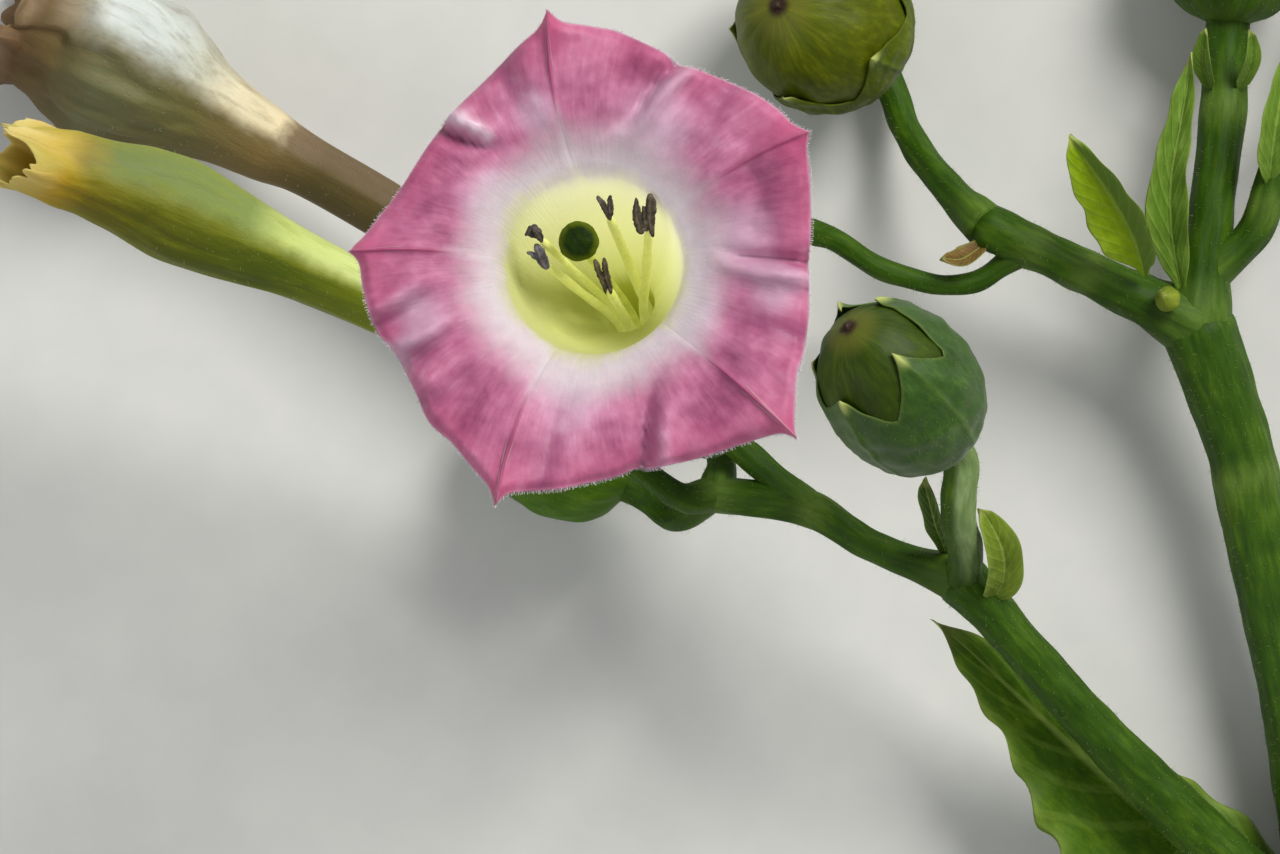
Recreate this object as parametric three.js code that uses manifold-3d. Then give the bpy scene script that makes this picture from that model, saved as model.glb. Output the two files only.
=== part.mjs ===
// A flowering branch cut from a tobacco plant and laid on a flat surface, in millimetres, +Z up.
// One open pink flower faces up, two faded flowers lie to its left, and six fruits sit in their
// calyces on forked stems. Places are measured from a point on that surface, below the forks;
// the last lines move the whole to the middle of its own box, on its lowest point.
import * as THREE from "three";
import { mergeVertices } from "three/addons/utils/BufferGeometryUtils.js";
import Module from "manifold-3d";

const wasm = await Module();
wasm.setup();

// Sizes shared by many pieces.
const seat = 0.3; // air between one piece and the piece that carries it
const petalWall = 0.5;
const bractWall = 0.45;
const stemSides = 8;
const stepsPerStretch = 3; // rings between two named points of a stem
const lobes = 5; // petals, calyx teeth and stamens all come in fives
const lobeTurn = (2 * Math.PI) / lobes;

// Stems from root to tip: each station is x, y, z and the stem's radius there.
// from names the stems that the root is cut clear of, to the piece that the tip ends under.
const stems = {
  stem_main: {
    stations: [
      [56.3, -50.3, 3.5, 3.4],
      [50.5, -38.7, 4.1, 3.3],
      [45.8, -17.9, 5.2, 2.5],
      [43.2, -7.2, 6, 2.3],
      [42, -1.6, 6.6, 2.3],
      [38.9, 7.1, 8, 2.7],
    ],
  },
  stem_left: {
    from: ["stem_main"],
    stations: [
      [50.9, -39.6, 4.2, 2.2],
      [38.4, -27.7, 8.2, 1.9],
      [31, -20.3, 11.5, 1.6],
      [24.1, -12.6, 14.5, 1.6],
      [22.2, -10.6, 15, 2.1],
    ],
  },
  rachis: {
    from: ["stem_left"],
    stations: [
      [22.2, -10.6, 15, 1.4],
      [15.9, -8.2, 14, 1.2],
      [11.8, -5.7, 13, 1.35],
      [5, -4.7, 12, 1.3],
    ],
  },
  branch_right: {
    from: ["stem_main"],
    stations: [
      [38.9, 7.1, 8, 2],
      [31, 10.8, 9.3, 1.5],
      [24, 14, 10.3, 1.8],
    ],
  },
  stem_upper: {
    from: ["stem_main", "branch_right"],
    to: "right",
    stations: [
      [38.9, 7.1, 8, 2],
      [40, 15.9, 8, 1.6],
      [40.8, 22.2, 7.2, 1.6],
    ],
  },
  branch_far: {
    from: ["stem_upper", "stem_main"],
    to: "far",
    stations: [
      [39.4, 10.6, 8, 1.3],
      [42.8, 13.6, 8.8, 1.2],
      [45, 19.7, 9.4, 1.2],
    ],
  },
  pedicel_pink: {
    from: ["rachis"],
    to: "pink",
    stations: [
      [11.8, -5.7, 13, 1],
      [8.6, -2.9, 12.6, 1],
    ],
  },
  pedicel_faded_upper: {
    from: ["rachis"],
    to: "faded_upper",
    stations: [
      [5.2, -4.7, 12, 1],
      [5.6, -2, 10.2, 1],
    ],
  },
  pedicel_faded_lower: {
    from: ["rachis", "pedicel_faded_upper"],
    to: "faded_lower",
    stations: [
      [5, -4.7, 12, 1],
      [3, -4.9, 13.6, 1],
    ],
  },
  pedicel_behind: {
    from: ["rachis", "pedicel_faded_upper", "pedicel_faded_lower"],
    to: "behind",
    stations: [
      [5, -4.7, 12, 0.9],
      [3.4, -6.2, 9.8, 0.9],
      [2, -6.3, 7.4, 0.9],
    ],
  },
  pedicel_near: {
    from: ["stem_left", "rachis"],
    to: "near",
    stations: [
      [22.2, -10.6, 15, 1],
      [22.8, -8.6, 18.2, 1],
      [22.5, -5.9, 21.8, 1.1],
    ],
  },
  pedicel_top: {
    from: ["branch_right"],
    stations: [
      [24, 14, 10.3, 1.3],
      [21.1, 17.2, 7.6, 1.1],
      [19, 20.4, 4.4, 1.05],
      [17.7, 24, 2.2, 1.1],
      [16.6, 26.4, 1.65, 1.25], // runs in under the fruit from the side
    ],
  },
  pedicel_hidden: {
    from: ["branch_right"],
    to: "hidden",
    stations: [
      [27.2, 12.5, 9.9, 0.8],
      [22.6, 9.9, 9.6, 0.75],
      [17, 10.9, 10.6, 0.75],
      [13.4, 13, 11.8, 0.8],
    ],
  },
};

// Fruits: a capsule from its foot to its nose, inside a calyx whose five teeth close over it.
// notch and tooth are how far up the fruit the calyx is cut and reaches, roll turns its teeth.
const fruits = {
  near: {
    foot: [20.8, -1.1, 24.8],
    nose: [13.75, 6.65, 33.4],
    radius: 4.95,
    rim: { notch: 0.47, tooth: 0.84, roll: 3 },
  },
  behind: {
    foot: [-0.8, -4.1, 5.8],
    nose: [-11.2, 0.8, 4.9],
    radius: 4.2,
    rim: { notch: 0.5, tooth: 0.86, roll: 20 },
  },
  top: {
    foot: [15.8, 27.2, 2.7],
    nose: [9.5, 29.1, 14],
    radius: 5.9,
    rim: { notch: 0.4, tooth: 0.8, roll: 40 },
  },
  right: {
    foot: [41.2, 28.3, 6.1],
    nose: [42.2, 42, 5.9],
    radius: 5.2,
    rim: { notch: 0.45, tooth: 0.82, roll: 10 },
  },
  far: {
    foot: [51.1, 26.5, 8.5],
    nose: [58.2, 35, 7],
    radius: 4.4,
    rim: { notch: 0.48, tooth: 0.88, roll: 30 },
  },
  hidden: {
    foot: [10.4, 15.8, 15],
    nose: [5.8, 20.6, 20],
    radius: 3.8,
    rim: { notch: 0.5, tooth: 0.9, roll: 0 },
  },
};

// Every fruit's egg: where it is widest, how blunt it is, and the shares of its height that
// the capsule and the calyx take their rings at.
const egg = {
  widest: 0.46,
  curve: 2.2,
  blunt: 0.55,
  capsuleShare: 0.97, // of the space in its calyx
  capsuleRings: [0.07, 0.13, 0.25, 0.42, 0.6, 0.76, 0.9, 0.98],
  capsuleSides: 12,
  calyxRings: [0, 0.12, 0.3, 0.55, 0.78, 1],
  calyxWall: 0.5,
  calyxFloor: 0.03,
  calyxFoot: 0.3, // least radius of the calyx, as a share of the fruit's
};

// The open flower: a narrow tube that rises from its calyx, widens into a throat and spreads
// into a flat limb with five pointed corners.
const flower = {
  foot: [4.5, 0.8, 17],
  bend: [0.4, 4.5, 40.5], // control point of the tube's curve
  mouth: [-3.1, 10.4, 58],
  // corners of the limb, and how far each edge that leaves them bows outwards, from the mouth
  corners: [
    { at: [-2.7, 15.8], bow: 0.65 },
    { at: [13.7, 8.1], bow: 0.3 },
    { at: [12.8, -11.1], bow: -0.15 },
    { at: [-5.9, -15.3], bow: 0.75 },
    { at: [-15.2, 0.7], bow: 0.4 },
  ],
  // share of the tube's height and its inner radius there
  bore: [
    [0, 1.1],
    [0.06, 1.6],
    [0.15, 1.7],
    [0.62, 1.7],
    [0.7, 1.8],
    [0.76, 2.6],
    [0.83, 3.9],
    [0.9, 4.85],
    [0.95, 5.35],
    [1, 5.7],
  ],
  lean: 0.17, // the limb rises towards the side of the tube's foot by this slope
  turnFrom: 0.75, // share of the tube's height where it starts to turn to the limb's slope
  rise: 3, // from the mouth to the limb's rim
  riseCurve: 2.5,
  plait: 0.7, // height of the shallow fold along each petal
  thicken: 0.3, // share of the limb over which its wall turns from level to upright
  pointsPerPetal: 8,
  tubeRings: [0, 0.03, 0.2, 0.42, 0.62, 0.7, 0.76, 0.83, 0.9, 0.95],
  limbRings: [0, 0.12, 0.3, 0.55, 0.8, 1],
};

// Calyx cups round the flowers' feet: where each starts and the point that it looks at.
const cups = {
  pink: {
    foot: [4.8, 0.4, 15.3],
    towards: flower.bend,
    length: 12.5,
    radius: 3.1,
    rim: { notch: 0.6, tooth: 1, roll: 15 },
  },
  faded_upper: {
    foot: [2.4, 1.6, 9],
    towards: [-4, 6.1, 8.9],
    length: 11,
    radius: 2.75,
    rim: { notch: 0.62, tooth: 1, roll: 0 },
  },
  faded_lower: {
    foot: [-0.7, -2.4, 16],
    towards: [-9.6, 3.9, 20],
    length: 11,
    radius: 2.75,
    rim: { notch: 0.62, tooth: 1, roll: 30 },
  },
};

// Every cup swells from its foot, a share of its radius, over a share of its length.
const cupShape = {
  wall: 0.5,
  foot: 0.45,
  swellLength: 0.3,
  swellCurve: 2.5,
  outerRings: [0, 0.1, 0.25, 0.6, 1],
};

// Stamens: the angle at which each stands in the tube, and its anther's place and lean.
const stamens = [
  { stand: 86, anther: [-2.3, 13.8, 57.3], lean: [-0.35, 0.9, 0.5] },
  { stand: 14, anther: [0.3, 13.2, 57.6], lean: [-0.05, 0.95, 0.4] },
  { stand: 158, anther: [-6.5, 12.1, 57.6], lean: [-0.8, 0.5, 0.4] },
  { stand: 230, anther: [-6.2, 10.6, 56.8], lean: [-0.65, 0.6, 0.4] },
  { stand: 302, anther: [-2.5, 9.4, 55.4], lean: [-0.25, 0.9, 0.5] },
];
const filament = {
  radius: 0.3,
  tip: 0.24,
  ring: 1.05, // how far from the tube's middle it stands
  shares: [0.22, 0.35, 0.5, 0.7], // of the tube's height, where it runs along the wall
};
const anther = { length: 2.3, width: 0.62, spread: 0.3, heel: 0.35 };
const threads = { sides: 6, steps: 10 };
const pistil = {
  style: 0.28,
  shares: [0.045, 0.3, 0.5, 0.7],
  ovary: { radius: 1.05, top: 0.145, rings: [0.02, 0.25, 0.6, 0.98], sides: 8 },
  stigma: { at: [-3.9, 11.7, 57.3], radius: 1.22, flat: 0.75 },
};

// Faded corollas, from foot to mouth: x, y, z and the outer radius. ragged is the depth of the
// tears in the rim.
const faded = {
  upper: {
    stations: [
      [0.9, 2.7, 9, 1.7],
      [-4, 6.1, 8.9, 1.9],
      [-10, 10.1, 8.4, 1.95],
      [-17.8, 15, 7.6, 2],
      [-24.6, 18.7, 6.8, 2.3],
      [-30.5, 22.1, 6, 3.6],
      [-35.6, 25, 5.8, 5.5],
      [-38.6, 26.5, 5.8, 5.6],
      [-41.2, 27.7, 5.8, 4.8],
      [-44.2, 29.2, 5.8, 5.2],
    ],
    ragged: 1.2,
  },
  lower: {
    stations: [
      [-2.2, -1.4, 16.6, 1.7],
      [-9.6, 3.9, 20, 1.9],
      [-16, 7.6, 22.5, 2],
      [-22.4, 10.6, 25, 2.3],
      [-28.6, 13.3, 27, 3.3],
      [-31.8, 14.7, 28.1, 3.5],
      [-37.4, 16.9, 30.5, 2.5],
      [-42.2, 18.3, 32.4, 2.7],
    ],
    ragged: 1.6,
  },
};

// Bracts from root to tip: x, y, z and the reach of the blade to its left and right.
// up is the way the blade's face looks, fold lifts its sides.
const bracts = {
  bract_stem: {
    up: [0.15, 0.2, 1],
    fold: -0.12,
    stations: [
      [46.6, -35.7, 2.2, 2, 2],
      [42.5, -31.8, 3.1, 6, 3.4],
      [37.2, -28, 4.9, 7.9, 3.6],
      [32.2, -24, 7, 6, 2.4],
      [27, -19.3, 9, 3.1, 1.1],
      [23, -15.6, 10.8, 1.4, 0.6],
      [20.4, -13.4, 12, 0.3, 0.3],
    ],
  },
  bract_curled: {
    up: [1, 0.3, 0.5],
    fold: 0.35,
    stations: [
      [24.9, -11.6, 15.6, 0.6, 0.6],
      [26.6, -10.4, 17.2, 1.5, 1.5],
      [26.9, -8.4, 19.4, 1.7, 1.7],
      [25.4, -6.2, 21.2, 1.2, 1.2],
      [23.9, -5.3, 21.6, 0.35, 0.35],
    ],
  },
  bract_slim: {
    up: [-0.6, -0.4, 1],
    fold: 0.3,
    stations: [
      [20.9, -8.1, 15.6, 0.45, 0.45],
      [20.3, -6.8, 17.8, 0.9, 0.9],
      [19.7, -4.8, 19.8, 0.7, 0.7],
      [19.3, -3.6, 20.8, 0.25, 0.25],
    ],
  },
  bract_bright: {
    up: [-0.5, -0.35, 1],
    fold: 0.45,
    stations: [
      [35.1, 10.5, 11.3, 0.7, 0.7],
      [34.2, 13, 13.2, 2, 1.7],
      [32.4, 16, 15.4, 2.2, 1.9],
      [30.4, 18.6, 17.2, 1.15, 1.1],
      [29.4, 19.9, 18, 0.25, 0.25],
    ],
  },
  bract_slender: {
    up: [-0.45, 0.1, 0.9],
    fold: 0.3,
    stations: [
      [37.4, 9.8, 9.9, 0.5, 0.5],
      [37, 13.3, 10.5, 1.4, 1.4],
      [36.9, 17.2, 11, 1.5, 1.5],
      [37.6, 21.4, 11.4, 1, 1],
      [38.1, 24.5, 11.7, 0.5, 0.5],
      [38.2, 26, 11.8, 0.25, 0.25],
    ],
  },
  bract_dry: {
    up: [0, 0.4, 1],
    fold: 0.4,
    stations: [
      [23, 12.1, 10.9, 0.45, 0.45],
      [21.9, 11.5, 11.5, 0.8, 0.8],
      [20.9, 11.7, 12.1, 0.25, 0.25],
    ],
  },
  bract_upper_left: {
    up: [-0.5, -0.2, 1],
    fold: 0.4,
    stations: [
      [39.5, 24, 8.9, 0.45, 0.45],
      [39.1, 25.6, 10, 0.8, 0.8],
      [39.2, 27.6, 11.2, 0.25, 0.25],
    ],
  },
  bract_upper_right: {
    up: [0.5, -0.2, 1],
    fold: 0.4,
    stations: [
      [42.1, 24, 8.7, 0.45, 0.45],
      [42.6, 25.6, 9.8, 0.8, 0.8],
      [42.4, 27.5, 11, 0.25, 0.25],
    ],
  },
  bract_far: {
    up: [0.3, -0.5, 1],
    fold: 0.4,
    stations: [
      [43.5, 17.2, 10.9, 0.5, 0.5],
      [43.9, 20, 12, 1.3, 1.3],
      [44.4, 23.6, 13, 1, 1],
      [44.8, 26, 13.6, 0.25, 0.25],
    ],
  },
};
const bud = { at: [36.6, 8.9, 11.4], radius: 0.85 };
const fadedSides = 16;
const tearTurn = 2.1; // radians from one tear of a ragged rim to the next

// Finishes: colour, roughness.
const finishes = {
  stem: ["#5f8a2a", 0.6],
  calyx: ["#6c8f3c", 0.65],
  capsule: ["#4f7326", 0.5],
  bract: ["#7a9f35", 0.6],
  petal: ["#c8699a", 0.7],
  faded_upper: ["#b9ab86", 0.8],
  faded_lower: ["#9aa63f", 0.75],
  filament: ["#d8dc8c", 0.6],
  stigma: ["#3f5a1c", 0.35],
};

const vector = (list) => new THREE.Vector3(list[0], list[1], list[2]);
const degrees = Math.PI / 180;
const worldUp = new THREE.Vector3(0, 0, 1);

// A closed skin over a row of rings with equally many points. A fan of faces closes each end.
function skin(rings) {
  const around = rings[0].length;
  const points = rings.flat();
  const faces = [];
  rings.slice(1).forEach((_, i) => {
    for (let j = 0; j < around; j++) {
      const k = (j + 1) % around;
      const [a, b] = [i * around + j, i * around + k];
      const [c, d] = [a + around, b + around];
      faces.push(a, b, d, a, d, c);
    }
  });
  for (const [ring, turned] of [[0, true], [rings.length - 1, false]]) {
    const middle = rings[ring].reduce((sum, p) => sum.add(p), new THREE.Vector3()).divideScalar(around);
    const hub = points.push(middle) - 1;
    for (let j = 0; j < around; j++) {
      const [a, b] = [ring * around + j, ring * around + ((j + 1) % around)];
      faces.push(hub, turned ? b : a, turned ? a : b);
    }
  }
  const geometry = new THREE.BufferGeometry().setFromPoints(points);
  geometry.setIndex(faces);
  return geometry;
}

// A solid made of a closed geometry, for joining and cutting.
function solid(geometry) {
  const bare = new THREE.BufferGeometry();
  bare.setAttribute("position", geometry.getAttribute("position"));
  bare.setIndex(geometry.index);
  const merged = mergeVertices(bare, 1e-4);
  return new wasm.Manifold(
    new wasm.Mesh({
      numProp: 3,
      vertProperties: merged.attributes.position.array,
      triVerts: new Uint32Array(merged.index.array),
    }),
  );
}

function geometryOf(made) {
  const mesh = made.getMesh();
  const geometry = new THREE.BufferGeometry();
  geometry.setAttribute("position", new THREE.BufferAttribute(mesh.vertProperties, mesh.numProp));
  geometry.setIndex(new THREE.BufferAttribute(mesh.triVerts, 1));
  return geometry;
}

function joined(geometries) {
  return geometryOf(geometries.map(solid).reduce((whole, piece) => whole.add(piece)));
}

// What is left of a piece past the pieces it springs from: its largest body.
function trimmed(geometry, cutters) {
  const left = cutters.reduce((whole, cutter) => whole.subtract(solid(cutter)), solid(geometry));
  const bodies = left.decompose().sort((a, b) => b.volume() - a.volume());
  return geometryOf(bodies[0]);
}

// Where the tip of a pedicel runs in under the fruit or flower that it carries.
const tipSizes = { lead: 1.6, share: 0.3 };
function tipStations(name) {
  const { foot, nose, towards, radius } = fruits[name] ?? cups[name];
  const start = vector(foot);
  const axis = vector(nose ?? towards).sub(start).normalize();
  return [tipSizes.lead, seat].map((under) => [
    ...start.clone().addScaledVector(axis, -under).toArray(),
    tipSizes.share * radius,
  ]);
}

// Two directions square to an axis, the first one level, so that rings around it run leftwards.
function across(axis) {
  const level = new THREE.Vector3().crossVectors(axis, worldUp);
  if (level.lengthSq() < 1e-4) level.set(1, 0, 0);
  level.normalize();
  return [level, new THREE.Vector3().crossVectors(axis, level).normalize()];
}

// The point at a turn and a reach round a centre.
function around(centre, [first, second], turn, reach) {
  return centre
    .clone()
    .addScaledVector(first, reach * Math.cos(turn))
    .addScaledVector(second, reach * Math.sin(turn));
}

// A ring of points round a centre.
function ring(centre, sides, reach, count) {
  return Array.from({ length: count }, (_, j) =>
    around(centre, sides, (2 * Math.PI * j) / count, reach),
  );
}

// Points along a smooth curve through the stations, with whatever else the stations carry,
// and frames that are carried along without twisting.
function along(stations, steps) {
  const path = new THREE.CatmullRomCurve3(stations.map(vector), false, "centripetal");
  const extras = stations[0].length - 3;
  let first = null;
  return Array.from({ length: steps + 1 }, (_, i) => {
    const share = i / steps;
    const reach = share * (stations.length - 1);
    const before = Math.min(Math.floor(reach), stations.length - 2);
    const extra = Array.from({ length: extras }, (_, k) =>
      THREE.MathUtils.lerp(stations[before][3 + k], stations[before + 1][3 + k], reach - before),
    );
    const tangent = path.getTangent(share);
    first = first ? first.clone() : across(tangent)[0];
    first.addScaledVector(tangent, -first.dot(tangent)).normalize();
    const second = new THREE.Vector3().crossVectors(tangent, first);
    return { at: path.getPoint(share), tangent, sides: [first, second], extra };
  });
}

// A tapering stem through its stations, grown all round by an allowance.
function stem(stations, allowance = 0) {
  const stops = along(stations, stepsPerStretch * (stations.length - 1));
  return skin(
    stops.map(({ at, sides, extra }) => ring(at, sides, extra[0] + allowance, stemSides)),
  );
}

// A blade: a thin lens across its path, its two halves folded towards its face.
function blade({ stations, up, fold }) {
  const face = vector(up).normalize();
  const stops = along(stations, 2 * (stations.length - 1));
  return skin(
    stops.map(({ at, tangent, extra: [left, right] }) => {
      const side = new THREE.Vector3().crossVectors(face, tangent).normalize();
      const out = new THREE.Vector3().crossVectors(tangent, side);
      const place = (reach, lift) =>
        at
          .clone()
          .addScaledVector(side, reach)
          .addScaledVector(out, fold * Math.abs(reach) + lift);
      const half = bractWall / 2;
      return [
        place(left, 0),
        place(left / 2, half),
        place(0, half),
        place(-right / 2, half),
        place(-right, 0),
        place(-right / 2, -half),
        place(0, -half),
        place(left / 2, -half),
      ];
    }),
  );
}

// Radius of a fruit at a share of its height: an egg, widest below its middle.
function eggRadius(share, radius) {
  const { widest, curve, blunt } = egg;
  const reach = share < widest ? (widest - share) / widest : (share - widest) / (1 - widest);
  return radius * Math.pow(Math.max(0, 1 - Math.pow(reach, curve)), blunt);
}

// How far up a toothed rim stands at a turn, between its notches and the points of its teeth.
const toothCurve = 1.3;
function rimAt(turn, { notch, tooth, roll }) {
  const phase = (((turn - roll * degrees) / lobeTurn) % 1 + 1) % 1;
  return THREE.MathUtils.lerp(notch, tooth, Math.pow(Math.abs(2 * phase - 1), toothCurve));
}

// The turns of a toothed ring's points.
const rimTurns = Array.from({ length: 4 * lobes }, (_, j) => (lobeTurn * j) / 4);

// The capsule and the calyx of a fruit. Each is a row of rings round the line from foot to nose.
function fruit({ foot, nose, radius, rim }) {
  const start = vector(foot);
  const axis = vector(nose).sub(start);
  const height = axis.length();
  axis.normalize();
  const sides = across(axis);
  const centre = (share) => start.clone().addScaledVector(axis, share * height);
  const capsule = skin(
    egg.capsuleRings.map((share) => {
      const reach = egg.capsuleShare * eggRadius(share, radius);
      return ring(centre(share), sides, reach, egg.capsuleSides);
    }),
  );
  const wallRing = (level, stand, floor) =>
    rimTurns.map((turn) => {
      const share = THREE.MathUtils.lerp(floor, rimAt(turn, rim), level);
      const reach = Math.max(eggRadius(share, radius), egg.calyxFoot * radius) + stand;
      return around(centre(share), sides, turn, reach);
    });
  const outer = egg.calyxRings.map((level) => wallRing(level, seat + egg.calyxWall, 0));
  const inner = egg.calyxRings.map((level) => wallRing(level, seat, egg.calyxFloor)).reverse();
  return { capsule, calyx: skin([...outer, ...inner]) };
}

// A toothed calyx cup round the foot of a flower tube.
function cup({ foot, towards, length, radius, rim }) {
  const start = vector(foot);
  const axis = vector(towards).sub(start).normalize();
  const sides = across(axis);
  const wallRing = (level, thickness) =>
    rimTurns.map((turn) => {
      const height = THREE.MathUtils.lerp(thickness, length * rimAt(turn, rim), level);
      const climbed = Math.min(height / (cupShape.swellLength * length), 1);
      const swell = 1 - Math.pow(1 - climbed, cupShape.swellCurve);
      const reach = radius * THREE.MathUtils.lerp(cupShape.foot, 1, swell) - thickness;
      return around(start.clone().addScaledVector(axis, height), sides, turn, reach);
    });
  const outer = cupShape.outerRings.map((level) => wallRing(level, 0));
  const inner = cupShape.outerRings.slice(1).map((level) => wallRing(level, cupShape.wall));
  return skin([...outer, ...inner.reverse()]);
}

// The value of a list of [share, value] pairs at a share.
function read(list, share) {
  const next = Math.max(1, list.findIndex(([stop]) => stop >= share));
  const [[a, low], [b, high]] = [list[next - 1], list[next]];
  return THREE.MathUtils.lerp(low, high, (share - a) / (b - a));
}

const tubeCurve = new THREE.QuadraticBezierCurve3(
  vector(flower.foot),
  vector(flower.bend),
  vector(flower.mouth),
);
const limbNormal = (() => {
  const slope = vector(flower.foot).sub(vector(flower.mouth)).setZ(0).setLength(flower.lean);
  return new THREE.Vector3(-slope.x, -slope.y, 1).normalize();
})();

// The middle of the flower's tube and its level directions at a share of its height.
function tubeStop(share) {
  const at = tubeCurve.getPoint(share);
  const turned = THREE.MathUtils.smoothstep(share, flower.turnFrom, 1);
  const axis = tubeCurve.getTangent(share).lerp(limbNormal, turned).normalize();
  const first = new THREE.Vector3(1, 0, 0).addScaledVector(axis, -axis.x).normalize();
  return { at, axis, sides: [first, new THREE.Vector3().crossVectors(axis, first)] };
}

// The limb's edge, from corner to corner, and the turn at which each of its points is seen.
function limbEdge(perSide) {
  return flower.corners.flatMap(({ at, bow }, i) => {
    const start = new THREE.Vector2(...at);
    const end = new THREE.Vector2(...flower.corners[(i + 1) % lobes].at);
    const outwards = new THREE.Vector2(start.y - end.y, end.x - start.x).normalize();
    return Array.from({ length: perSide }, (_, j) => {
      const share = j / perSide;
      return start.clone().lerp(end, share).addScaledVector(outwards, 4 * bow * share * (1 - share));
    });
  });
}

// The pink corolla: outer rings up the tube and under the limb, then inner rings back down.
function pinkCorolla() {
  const edge = limbEdge(flower.pointsPerPetal).reverse();
  const turns = edge.map((p) => Math.atan2(p.y, p.x));
  const mouth = tubeStop(1);
  const tubeRing = (share, wall) => {
    const { at, sides } = tubeStop(share);
    const radius = read(flower.bore, share) + wall;
    return turns.map((turn) => around(at, sides, turn, radius));
  };
  const lip = read(flower.bore, 1);
  const slope = new THREE.Vector2(-limbNormal.x, -limbNormal.y).divideScalar(limbNormal.z);
  const limbRing = (share, wall) =>
    edge.map((p, j) => {
      const start = new THREE.Vector2(Math.cos(turns[j]), Math.sin(turns[j]));
      const flat = start.multiplyScalar(lip + wall * (1 - share)).lerp(p, share);
      const petal = Math.cos((2 * Math.PI * j) / flower.pointsPerPetal);
      const climb = flower.rise * (1 - (1 - share) ** flower.riseCurve);
      const fold = flower.plait * petal * share * (1 - share);
      const under = wall * THREE.MathUtils.smoothstep(share, 0, flower.thicken);
      const height = mouth.at.z + slope.dot(flat) + climb + fold - under;
      return new THREE.Vector3(mouth.at.x + flat.x, mouth.at.y + flat.y, height);
    });
  const { tubeRings, limbRings } = flower;
  const outer = [
    ...tubeRings.map((share) => tubeRing(share, petalWall)),
    ...limbRings.map((share) => limbRing(share, petalWall)),
  ];
  const inner = [
    ...limbRings.map((share) => limbRing(share, 0)).reverse(),
    ...tubeRings.slice(1).map((share) => tubeRing(share, 0)).reverse(),
  ];
  return skin([...outer, ...inner]);
}

// A thread through its stations.
function thread(stations) {
  const stops = along(stations, threads.steps);
  return skin(stops.map(({ at, sides, extra }) => ring(at, sides, extra[0], threads.sides)));
}

// One stamen: a thread that stands in the tube, leaves it and ends in two pollen sacs.
function stamen({ stand, anther: top, lean }) {
  const stations = filament.shares.map((share) => {
    const { at, sides } = tubeStop(share);
    const point = around(at, sides, stand * degrees, filament.ring);
    return [...point.toArray(), filament.radius];
  });
  const direction = vector(lean).normalize();
  const middle = vector(top);
  const heel = middle.clone().addScaledVector(direction, -anther.heel * anther.length);
  const halfway = vector(stations.at(-1)).lerp(heel, 0.5);
  stations.push([...halfway.toArray(), filament.radius], [...heel.toArray(), filament.tip]);
  const [level] = across(direction);
  const sacs = [-1, 1].map((side) => {
    const sac = new THREE.SphereGeometry(0.5, 8, 6);
    sac.scale(anther.width, anther.length, anther.width);
    const facing = new THREE.Matrix4().makeBasis(
      level,
      direction,
      new THREE.Vector3().crossVectors(level, direction),
    );
    const place = middle.clone().addScaledVector(level, side * anther.spread);
    return sac.applyMatrix4(facing.setPosition(place));
  });
  return joined([thread(stations), ...sacs]);
}

// The pistil: an ovary at the foot of the tube, a style and a round stigma in the throat.
function pistilSolid() {
  const { style, shares, ovary, stigma } = pistil;
  const stations = shares.map((share) => [...tubeStop(share).at.toArray(), style]);
  const top = vector(stigma.at);
  const halfway = vector(stations.at(-1)).lerp(top, 0.5);
  stations.push([...halfway.toArray(), style], [...top.toArray(), style]);
  const low = tubeStop(shares[0]);
  const ovaryHeight = low.at.distanceTo(tubeStop(ovary.top).at);
  const ovarySkin = skin(
    ovary.rings.map((share) => {
      const centre = low.at.clone().addScaledVector(low.axis, share * ovaryHeight);
      return ring(centre, low.sides, eggRadius(share, ovary.radius), ovary.sides);
    }),
  );
  const knob = new THREE.SphereGeometry(stigma.radius, 14, 10);
  knob.scale(1, 1, stigma.flat).translate(...stigma.at);
  return joined([thread(stations), ovarySkin, knob]);
}

// A faded corolla: a hollow tube with a closed foot and a ragged, open mouth.
function fadedCorolla({ stations, ragged }) {
  const stops = along(stations, 2 * (stations.length - 1));
  const last = stops.length - 1;
  const wallRing = ({ at, tangent, sides, extra }, wall, i) =>
    ring(at, sides, extra[0] - wall, fadedSides).map((p, j) =>
      i === last ? p.addScaledVector(tangent, (ragged / 2) * Math.cos(j * tearTurn)) : p,
    );
  const outer = stops.map((stop, i) => wallRing(stop, 0, i));
  const inner = stops.map((stop, i) => wallRing(stop, petalWall, i)).slice(1).reverse();
  return skin([...outer, ...inner]);
}

const branch = new THREE.Group();

function add(name, geometry, finish) {
  const [color, roughness] = finishes[finish];
  const material = new THREE.MeshStandardMaterial({ color, roughness, metalness: 0 });
  const mesh = new THREE.Mesh(geometry, material);
  mesh.name = name;
  branch.add(mesh);
}

for (const sizes of Object.values(stems)) {
  if (sizes.to) sizes.stations.push(...tipStations(sizes.to));
}
for (const [name, { from = [], stations }] of Object.entries(stems)) {
  const roots = from.map((root) => stem(stems[root].stations, seat));
  add(name, trimmed(stem(stations), roots), "stem");
}

for (const [name, sizes] of Object.entries(fruits)) {
  const { capsule, calyx } = fruit(sizes);
  add("capsule_" + name, capsule, "capsule");
  add("calyx_" + name, calyx, "calyx");
}

for (const [name, sizes] of Object.entries(bracts)) {
  add(name, blade(sizes), "bract");
}
add("bud_small", new THREE.SphereGeometry(bud.radius, 10, 8).translate(...bud.at), "bract");

for (const [name, sizes] of Object.entries(cups)) {
  add("calyx_" + name, cup(sizes), "calyx");
}
add("corolla_pink", pinkCorolla(), "petal");
add("pistil", pistilSolid(), "stigma");
stamens.forEach((sizes, i) => add("stamen_" + (i + 1), stamen(sizes), "filament"));

for (const [name, sizes] of Object.entries(faded)) {
  add("corolla_faded_" + name, fadedCorolla(sizes), "faded_" + name);
}

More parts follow.
